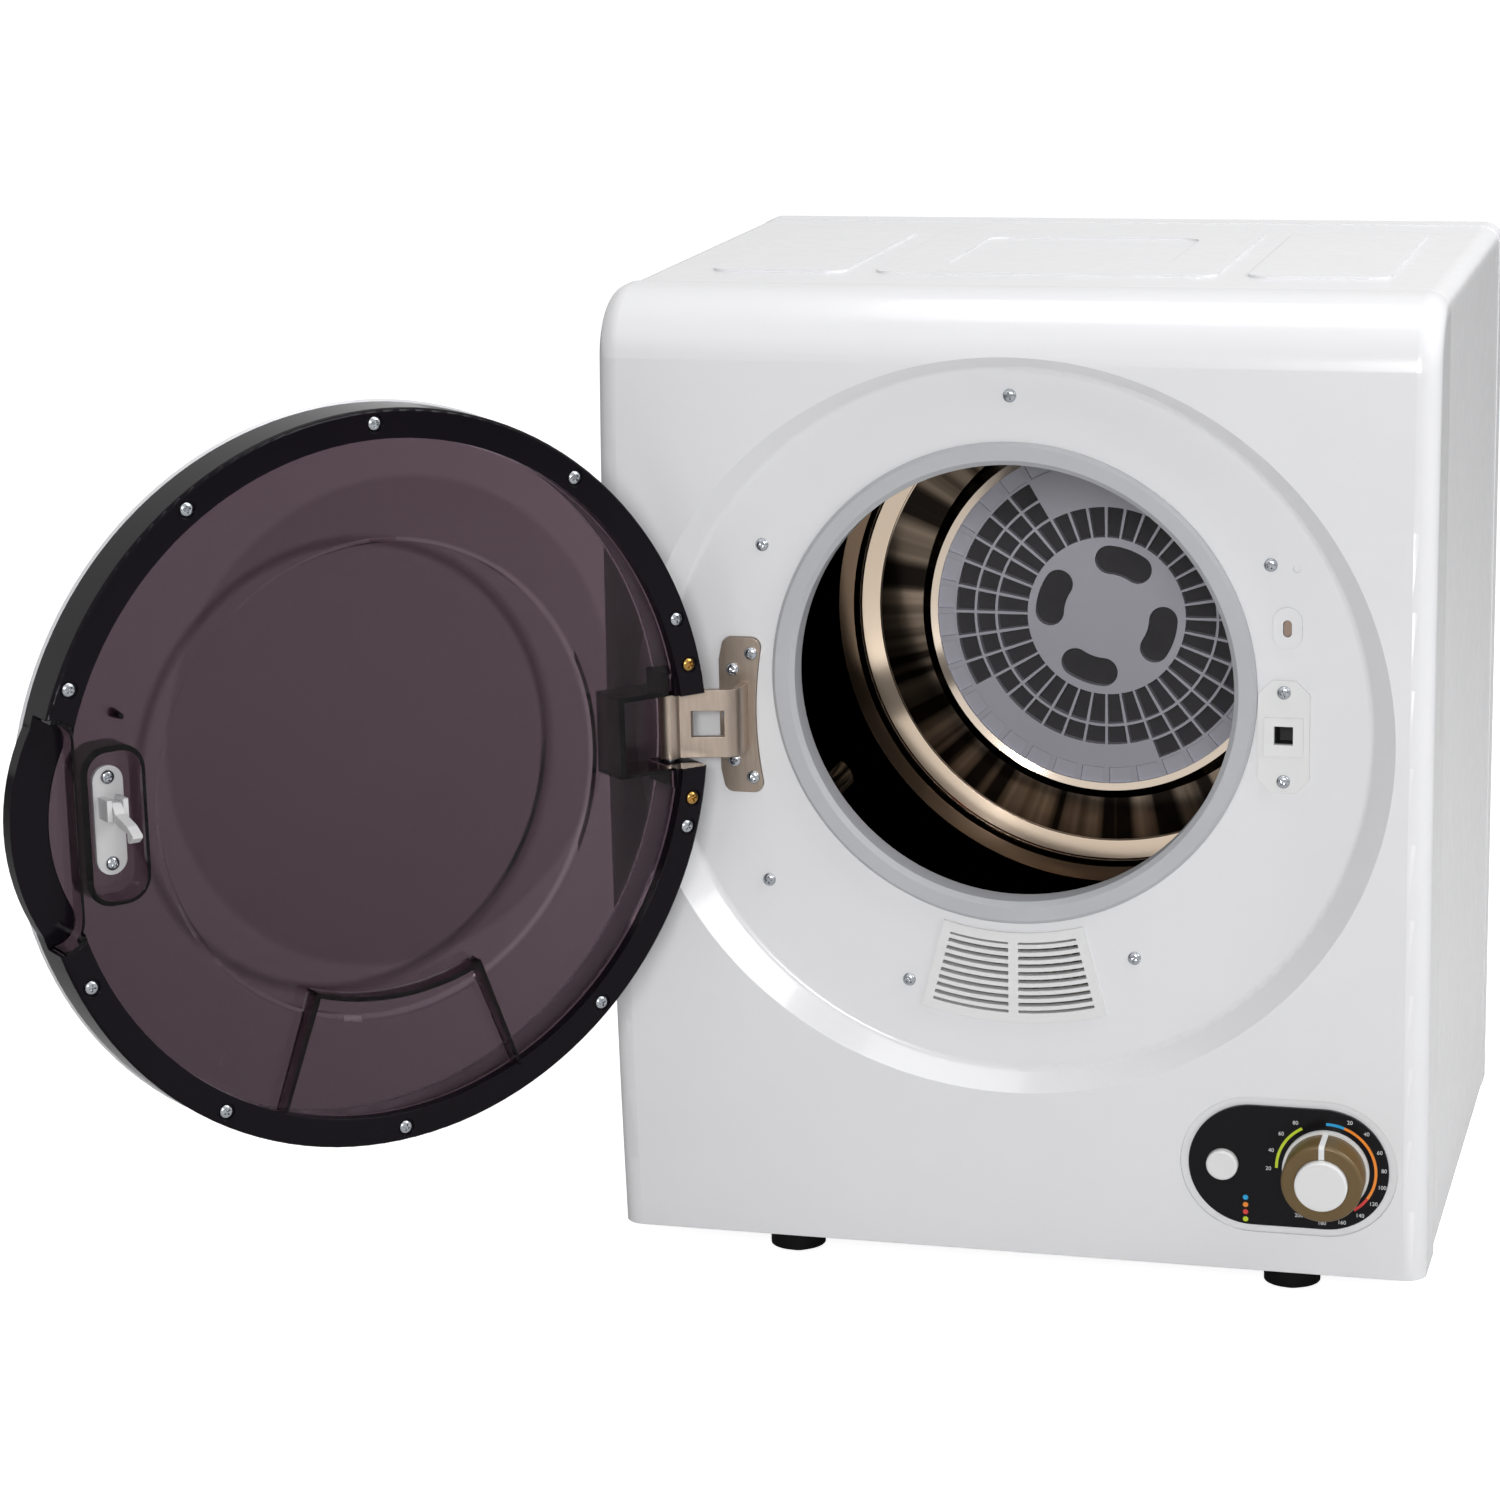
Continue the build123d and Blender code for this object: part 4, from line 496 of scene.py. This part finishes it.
def cross_screw():
    """One screw: its head stands on the XY plane and its shank goes down; the recess is cut in."""
    profile = [(0.0, -shank_length), (shank_radius, -shank_length)]
    profile += [(shank_radius, 0.0), (head_radius, 0.0)]
    profile += [(head_radius, 0.3 * head_height), (0.93 * head_radius, 0.58 * head_height)]
    profile += [(0.75 * head_radius, 0.84 * head_height), (0.5 * head_radius, head_height)]
    profile += [(0.0, head_height)]
    turned_shape = bmesh.new()
    points = [turned_shape.verts.new((r, 0.0, z)) for r, z in profile]
    edges = [turned_shape.edges.new(pair) for pair in zip(points, points[1:])]
    bmesh.ops.spin(
        turned_shape,
        geom=points + edges,
        axis=(0, 0, 1),
        cent=(0, 0, 0),
        steps=28,
        angle=math.tau,
    )
    bmesh.ops.remove_doubles(turned_shape, verts=turned_shape.verts, dist=1e-7)
    bmesh.ops.recalc_face_normals(turned_shape, faces=turned_shape.faces)
    cutter_shape = bmesh.new()
    for turn in (0.0, math.pi / 2):
        made = bmesh.ops.create_cube(cutter_shape, size=1.0)["verts"]
        for point in made:
            narrow = 0.62 if point.co.z < 0 else 1.0
            point.co.x *= 2 * cross_reach * narrow
            point.co.y *= cross_width
            point.co.z = head_height + (0.001 if point.co.z > 0 else -cross_depth)
        bmesh.ops.rotate(cutter_shape, verts=made, cent=(0, 0, 0), matrix=Matrix.Rotation(turn, 3, "Z"))
    made = []
    for name, shape in (("screw_blank", turned_shape), ("cross_punch", cutter_shape)):
        mesh = bpy.data.meshes.new(name)
        shape.to_mesh(mesh)
        shape.free()
        made.append(bpy.data.objects.new(name, mesh))
        bpy.context.scene.collection.objects.link(made[-1])
    blank, punch = made
    cut = blank.modifiers.new("cross", "BOOLEAN")
    cut.object = punch
    cut.operation = "DIFFERENCE"
    cut.solver = "EXACT"
    cut.use_self = True
    ready = bpy.context.evaluated_depsgraph_get()
    mesh = bpy.data.meshes.new_from_object(blank.evaluated_get(ready))
    for old in made:
        bpy.data.objects.remove(old)
    return mesh


screw_mesh = cross_screw()


def drive_screws(node, body, out, material, turn_step=37.0):
    """Puts a cross-recess screw in the place of every plain one of a CAD piece."""
    shape = bmesh.new()
    upright = Vector((0, 0, 1)).rotation_difference(out).to_matrix().to_4x4()
    for count, points in enumerate(islands(node)):
        top = max(p.dot(out) for p in points)
        middle = Vector((max(p[i] for p in points) + min(p[i] for p in points)) / 2 for i in range(3))
        seat = middle + (top - head_height - middle.dot(out)) * out
        turn = Matrix.Rotation(math.radians(turn_step * count + 20), 4, "Z")
        copy = screw_mesh.copy()
        copy.transform(Matrix.Translation(seat) @ upright @ turn)
        shape.from_mesh(copy)
        bpy.data.meshes.remove(copy)
    piece = mesh_piece(node + "_cross", shape, material, body)
    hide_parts(node)
    return piece


# Zinc-plated steel: bluish silver, bright, with small dull patches.
zinc_plate = turned("zinc_plate", "#c4c8cd", "#a2a6ab", 0.2, 0.7, 0.01, (1.0, 1.0, 1.0), 0.15)
forward = Vector((0, -1, 0))
for node in ("ring_screws", "strike_screws", "hinge_screws"):
    drive_screws(node, "cabinet", forward, zinc_plate)
drive_screws("rear_screws", "cabinet", -forward, zinc_plate)


# Strike and door switch
# The latch's strike is a moulded plate with a blind cup, held by two screws. Over it a small switch
# behind the front feels the door's peg through a slot.

dress(satin_abs, "strike_plate")

# Phenolic moulding: near black, dull, finely grained.
dark_phenolic = moulded("dark_phenolic", "#262627", "#303031", 0.55, 0.7, 0.02, 0.4)
dress(dark_phenolic, "door_switch")

# Natural phenolic: tan, dull, with a fine flow grain.
tan_phenolic = moulded("tan_phenolic", "#a08a7a", "#8c7768", 0.5, 0.7, 0.02, 0.3)
dress(tan_phenolic, "switch_plunger")

# The inside of the strike's cup takes the same dark phenolic as painted shade, so its mouth looks black.
strike = nodes["strike_plate"].data
strike.materials.append(dark_phenolic)
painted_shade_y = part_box("strike_screws")[0].y + 0.006
for face in strike.polygons:
    if face.center.y > painted_shade_y:
        face.material_index = 1


# Control fascia
# A stadium-shaped plate of black acrylic, glued into its shallow place. The dial's scale is printed on
# it round the knob. Behind the front sit the clockwork timer and the push switch.

# Cast acrylic, black: deep gloss, very slightly uneven, with faint dust.
black_acrylic = moulded(
    "black_acrylic", "#0f0e11", "#151417", 0.16, 12.0, 0.006, 0.4, IOR=1.3, Specular_IOR_Level=0.35
)
dress(black_acrylic, "control_fascia")
dress(dark_phenolic, "timer", "heat_switch")

knob_joint = next(j for j in frame["joints"] if j["name"] == "timer_turn")
inward = Vector(knob_joint["axis"]).normalized()
knob_axis = Vector(knob_joint["pos_m"])
dial_right = Vector((1, 0, 0))
dial_up = -inward.cross(dial_right)
plate_points = [v.co for v in nodes["control_fascia"].data.vertices]
plate_face = max(p.dot(-inward) for p in plate_points)
knob_axis = knob_axis + (plate_face - knob_axis.dot(-inward)) * -inward
print_height = 0.00012


def on_dial(x, z, height=print_height):
    """A point on the fascia, in metres to the right of and above the knob's axis."""
    return knob_axis + x * dial_right + z * dial_up - height * inward


def printed_ink(name, colour):
    """Screen-printing ink: opaque and satin, with the slight unevenness of a thin film."""
    return moulded(name, colour, colour, 0.4, 0.4, 0.004, 0.05)


inks = {
    "blue": printed_ink("blue_ink", "#1f9fd8"),
    "orange": printed_ink("orange_ink", "#ee8a2a"),
    "red": printed_ink("red_ink", "#d63b35"),
    "lime": printed_ink("lime_ink", "#c3d62c"),
    "white": printed_ink("white_ink", "#d9dadb"),
}

# The scale: a coloured arc for each part of the dial's turn, in degrees from the right.
arc_radius = 0.0293
arc_width = 0.0017
for ink, start, end in (
    ("blue", 90.0, 69.0),
    ("orange", 69.0, -34.0),
    ("red", -34.0, -56.0),
    ("lime", 181.0, 119.0),
):
    shape = bmesh.new()
    steps = max(8, int(abs(end - start) / 2))
    pairs = []
    for step in range(steps + 1):
        angle = math.radians(start + (end - start) * step / steps)
        pair = []
        for radius in (arc_radius - arc_width / 2, arc_radius + arc_width / 2):
            for height in (0.0, print_height):
                spot = on_dial(radius * math.cos(angle), radius * math.sin(angle), height)
                pair.append(shape.verts.new(spot))
        pairs.append(pair)
    for a, b in zip(pairs, pairs[1:]):
        for i, j in ((0, 1), (1, 3), (3, 2), (2, 0)):
            shape.faces.new((a[i], a[j], b[j], b[i]))
    for cap in (pairs[0], pairs[-1]):
        shape.faces.new((cap[0], cap[1], cap[3], cap[2]))
    mesh_piece("scale_" + ink, shape, inks[ink], "cabinet")

# The key: one dot in each ink, in a column left of the knob.
key_x = -0.0477
key_top = -0.0208
key_pitch = 0.00465
key_radius = 0.0016
for row, ink in enumerate(("blue", "orange", "red", "lime")):
    shape = bmesh.new()
    rim = []
    for step in range(24):
        angle = math.tau * step / 24
        x = key_x + key_radius * math.cos(angle)
        z = key_top - row * key_pitch + key_radius * math.sin(angle)
        rim.append([shape.verts.new(on_dial(x, z, height)) for height in (0.0, print_height)])
    shape.faces.new([pair[1] for pair in rim])
    shape.faces.new([pair[0] for pair in reversed(rim)])
    for a, b in zip(rim, rim[1:] + rim[:1]):
        shape.faces.new((a[0], b[0], b[1], a[1]))
    mesh_piece("key_" + ink, shape, inks[ink], "cabinet")

# Minutes round the scale: plain numbers, small and upright, each at its angle in degrees from the right.
number_radius = 0.0341
number_size = 0.0034
dial_turn = Matrix((dial_right, dial_up, -inward)).transposed().to_4x4()
minutes = [(20 * (i + 1), a) for i, a in enumerate((66, 46, 23, 3, -15, -35, -54, -74, -94, -118))]
minutes += [(20, 182), (40, 162), (60, 141), (80, 122)]
for number, angle in minutes:
    reach = Vector((math.cos(math.radians(angle)), math.sin(math.radians(angle))))
    text = bpy.data.curves.new(f"minutes_{number}_{angle % 360}", "FONT")
    text.body = str(number)
    text.size = number_size
    text.align_x = "CENTER"
    text.align_y = "CENTER"
    text.extrude = print_height / 2
    text.materials.append(inks["white"])
    piece = bpy.data.objects.new(text.name, text)
    bpy.context.scene.collection.objects.link(piece)
    spot = on_dial(number_radius * reach.x, number_radius * reach.y, print_height / 2)
    piece.matrix_world = Matrix.Translation(spot) @ dial_turn
    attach(piece, "cabinet")


# Knob and button
# The timer knob is pressed on the timer's shaft: a white flange, an olive grip, and a white cap with a
# pointer let into the grip. The white heat button beside it pushes straight in.

dress(satin_abs, "knob_flange", "knob_cap", "knob_pointer", "heat_button")
dress(turned_steel, "timer_shaft")

# ABS coloured olive with a fine metal flake: satin, a little warmer where the light grazes it.
olive_abs = moulded("olive_abs", "#6c5733", "#614e2c", 0.36, 0.5, 0.015, 0.5, Metallic=0.15)
dress(olive_abs, "knob_skirt")


# Hinge
# A cast leaf with a bent arm, satin plated in a champagne tone and held by five screws. A steel pin
# through the end of the arm carries the door.

# Zinc casting, satin plated: warm pale metal, softly brushed along its height.
champagne_plate = turned("champagne_plate", "#b6a79a", "#9c8e82", 0.38, 0.5, 0.02, (1.0, 1.0, 0.12), 0.6)
dress(champagne_plate, "hinge_bracket")
dress(turned_steel, "hinge_pin")


# Door
# Two smoked panes, the outer one domed, are clamped by a near-black rim with the handle moulded on it;
# a silver trim ring closes the outside. Twelve screws hold the rim, two of them brass, by the hinge.

door_joint = next(j for j in frame["joints"] if j["name"] == "door_hinge")
door_turn = Matrix.Rotation(-math.radians(door_joint["range_deg"][1]), 4, "Z")
door_in = (door_turn @ Vector((0, 1, 0, 0))).to_3d()


def smoked(name):
    """Acrylic dyed through, brownish violet: the more of it light has to cross, the darker it comes out."""
    material, surface, place = new_finish(name, Transmission_Weight=1.0, IOR=1.28, Roughness=0.0)
    dye = add_node(material, "ShaderNodeVolumeAbsorption", Color=linear("#bcabb4"), Density=640.0)
    output = next(n for n in material.node_tree.nodes if n.type == "OUTPUT_MATERIAL")
    material.node_tree.links.new(dye.outputs["Volume"], output.inputs["Volume"])
    return material, surface, place


# The outer pane is clear smoke, with painted shade: its tint is darker towards the lower left.
shade_slope_x = 0.8
shade_slope_z = 0.6
smoked_acrylic_painted_shade, surface, place = smoked("smoked_acrylic_painted_shade")
pane_low, pane_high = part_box("door_outer_pane")
across = add_node(
    smoked_acrylic_painted_shade,
    "ShaderNodeVectorMath",
    {"operation": "DOT_PRODUCT"},
    Vector=place,
    Vector_001=Vector((shade_slope_x, 0.0, shade_slope_z)),
)
painted_shade_ramp = add_node(
    smoked_acrylic_painted_shade,
    "ShaderNodeMapRange",
    Value=across.outputs["Value"],
    From_Min=pane_low.x * shade_slope_x + pane_low.z * shade_slope_z,
    From_Max=pane_high.x * shade_slope_x + pane_high.z * shade_slope_z,
)
# Painted shade: a grey tint at the lower left, none at the upper right.
mingle(smoked_acrylic_painted_shade, surface, "Base Color", painted_shade_ramp.outputs["Result"], linear("#a8a5a7"), linear("#ffffff"))
dress(smoked_acrylic_painted_shade, "door_outer_pane")

# The inner pane is tinted deeper in a round window 141 mm in radius, set 32 mm above the door's axis
# and 11 mm nearer to the hinge, where it faces the mouth.
window_radius = 0.141
window_edge = 0.002
pivot = Vector(door_joint["pos_m"])
hingeward = (door_turn @ Vector((-1, 0, 0, 0))).to_3d()
door_middle = pivot + pivot.x * hingeward
door_middle.z = (pane_low.z + pane_high.z) / 2
window_middle = door_middle + 0.011 * hingeward + Vector((0, 0, 0.032))
window_acrylic, surface, place = smoked("window_acrylic")
arm = add_node(
    window_acrylic,
    "ShaderNodeVectorMath",
    {"operation": "SUBTRACT"},
    Vector=place,
    Vector_001=window_middle,
)
arm = add_node(
    window_acrylic,
    "ShaderNodeVectorMath",
    {"operation": "CROSS_PRODUCT"},
    Vector=arm.outputs["Vector"],
    Vector_001=door_in,
)
reach = add_node(
    window_acrylic, "ShaderNodeVectorMath", {"operation": "LENGTH"}, Vector=arm.outputs["Vector"]
)
edge = add_node(
    window_acrylic,
    "ShaderNodeMapRange",
    Value=reach.outputs["Value"],
    From_Min=window_radius - window_edge,
    From_Max=window_radius + window_edge,
)
mingle(window_acrylic, surface, "Base Color", edge.outputs["Result"], linear("#e6e2e4"), linear("#ffffff"))
dress(window_acrylic, "door_inner_pane")

# The same acrylic coloured through: near black with a violet cast, glossy.
dark_acrylic = moulded(
    "dark_acrylic", "#0d0a0f", "#130f15", 0.12, 14.0, 0.004, 0.8, IOR=1.28, Specular_IOR_Level=0.25
)
dress(dark_acrylic, "door_frame")

# ABS sprayed silver: pale grey with a fine flake, satin.
silver_paint = moulded("silver_paint", "#dcdcdf", "#d0d0d3", 0.36, 0.6, 0.01, 0.5, Metallic=0.3)
dress(silver_paint, "door_trim_ring")

drive_screws("door_screws", "door", door_in, zinc_plate)

# Brass: yellow metal, bright, a little tarnished.
bright_brass = turned("bright_brass", "#c39a55", "#a27e44", 0.2, 0.7, 0.01, (1.0, 1.0, 1.0), 0.15)
drive_screws("boss_screws", "door", door_in, bright_brass)


# Latch
# A white moulded base screwed into a hollow of the inner pane holds the sprung hook, which drops
# behind the strike when the door is pushed shut.

# Acetal: a greyer white than the ABS, a little waxy.
white_acetal = moulded("white_acetal", "#cbcbcc", "#c3c3c4", 0.36, 0.7, 0.012, 0.4)
dress(white_acetal, "latch_base", "latch_hook")
drive_screws("latch_screws", "door", door_in, zinc_plate)


# Studio
# A plain white floor that runs far back, four large soft lamps and a pale surround. The floor and the
# surround look pure white to the eye and through the door, and the floor still takes the shadow.

floor_radius = 60.0
floor_lift = 0.87
surround_level = 0.28
studio_floor = bpy.data.materials.new("studio_floor")
studio_floor.use_nodes = True
studio_floor.node_tree.nodes.clear()
rays = add_node(studio_floor, "ShaderNodeLightPath").outputs
paint = add_node(studio_floor, "ShaderNodeBsdfDiffuse")
mingle(studio_floor, paint, "Color", rays["Is Transmission Ray"], linear("#d8d8d8"), linear("#5a5a5a"))
seen = add_node(
    studio_floor,
    "ShaderNodeMath",
    {"operation": "MAXIMUM"},
    Value=rays["Is Camera Ray"],
    Value_001=rays["Is Transmission Ray"],
)
lift = add_node(
    studio_floor,
    "ShaderNodeMath",
    {"operation": "MULTIPLY"},
    Value=seen.outputs["Value"],
    Value_001=floor_lift,
)
glow = add_node(studio_floor, "ShaderNodeEmission", Strength=lift.outputs["Value"])
both = add_node(studio_floor, "ShaderNodeAddShader", Shader=paint.outputs["BSDF"])
studio_floor.node_tree.links.new(glow.outputs["Emission"], both.inputs[1])
add_node(studio_floor, "ShaderNodeOutputMaterial", Surface=both.outputs["Shader"])
shape = bmesh.new()
bmesh.ops.create_circle(shape, cap_ends=True, radius=floor_radius, segments=96)
mesh = bpy.data.meshes.new("floor")
shape.to_mesh(mesh)
shape.free()
mesh.materials.append(studio_floor)
floor = bpy.data.objects.new("floor", mesh)
bpy.context.scene.collection.objects.link(floor)

surround = bpy.data.worlds.new("surround")
bpy.context.scene.world = surround
surround.use_nodes = True
surround.node_tree.nodes.clear()
rays = add_node(surround, "ShaderNodeLightPath").outputs
seen = rays["Is Camera Ray"]
for kind in ("Is Glossy Ray", "Is Transmission Ray"):
    seen = add_node(
        surround, "ShaderNodeMath", {"operation": "MAXIMUM"}, Value=seen, Value_001=rays[kind]
    ).outputs["Value"]
level = add_node(
    surround,
    "ShaderNodeMix",
    {"data_type": "FLOAT"},
    Factor_Float=seen,
    A_Float=surround_level,
    B_Float=1.0,
)
sky = add_node(surround, "ShaderNodeBackground", Strength=level.outputs[0])
add_node(surround, "ShaderNodeOutputWorld", Surface=sky.outputs["Background"])

# Lamps: place, width and height in metres, power in watts. All point at the middle of the dryer.
middle = Vector((0.0, 0.0, 0.33))
for name, place, width, height, power in (
    ("key_softbox", (-1.3, -2.4, 2.3), 1.6, 1.2, 3.0),
    ("front_softbox", (0.38, -2.9, 1.1), 0.7, 0.5, 35.0),
    ("fill_softbox", (2.0, -0.3, 1.9), 1.2, 1.2, 35.0),
    ("top_softbox", (0.1, 0.0, 2.7), 1.8, 1.4, 22.0),
):
    lamp = bpy.data.lights.new(name, "AREA")
    lamp.shape = "RECTANGLE"
    lamp.size = width
    lamp.size_y = height
    lamp.energy = power
    stand = bpy.data.objects.new(name, lamp)
    stand.location = place
    stand.rotation_euler = (middle - Vector(place)).to_track_quat("-Z", "Y").to_euler()
    bpy.context.scene.collection.objects.link(stand)

# The camera stands a little to the right and above, about 2.6 m off, as in the photograph.
view = bpy.data.cameras.new("camera")
view.sensor_width = 36.0
view.lens = 98.302
camera = bpy.data.objects.new("camera", view)
yaw, pitch, roll = (math.radians(a) for a in (15.469, 13.957, 1.317))
camera.matrix_world = (
    Matrix.Translation((0.47616, -2.48305, 0.91718))
    @ Matrix.Rotation(yaw, 4, "Z")
    @ Matrix.Rotation(math.pi / 2 - pitch, 4, "X")
    @ Matrix.Rotation(-roll, 4, "Z")
)
bpy.context.scene.collection.objects.link(camera)
bpy.context.scene.camera = camera
bpy.context.scene.view_settings.view_transform = "Standard"
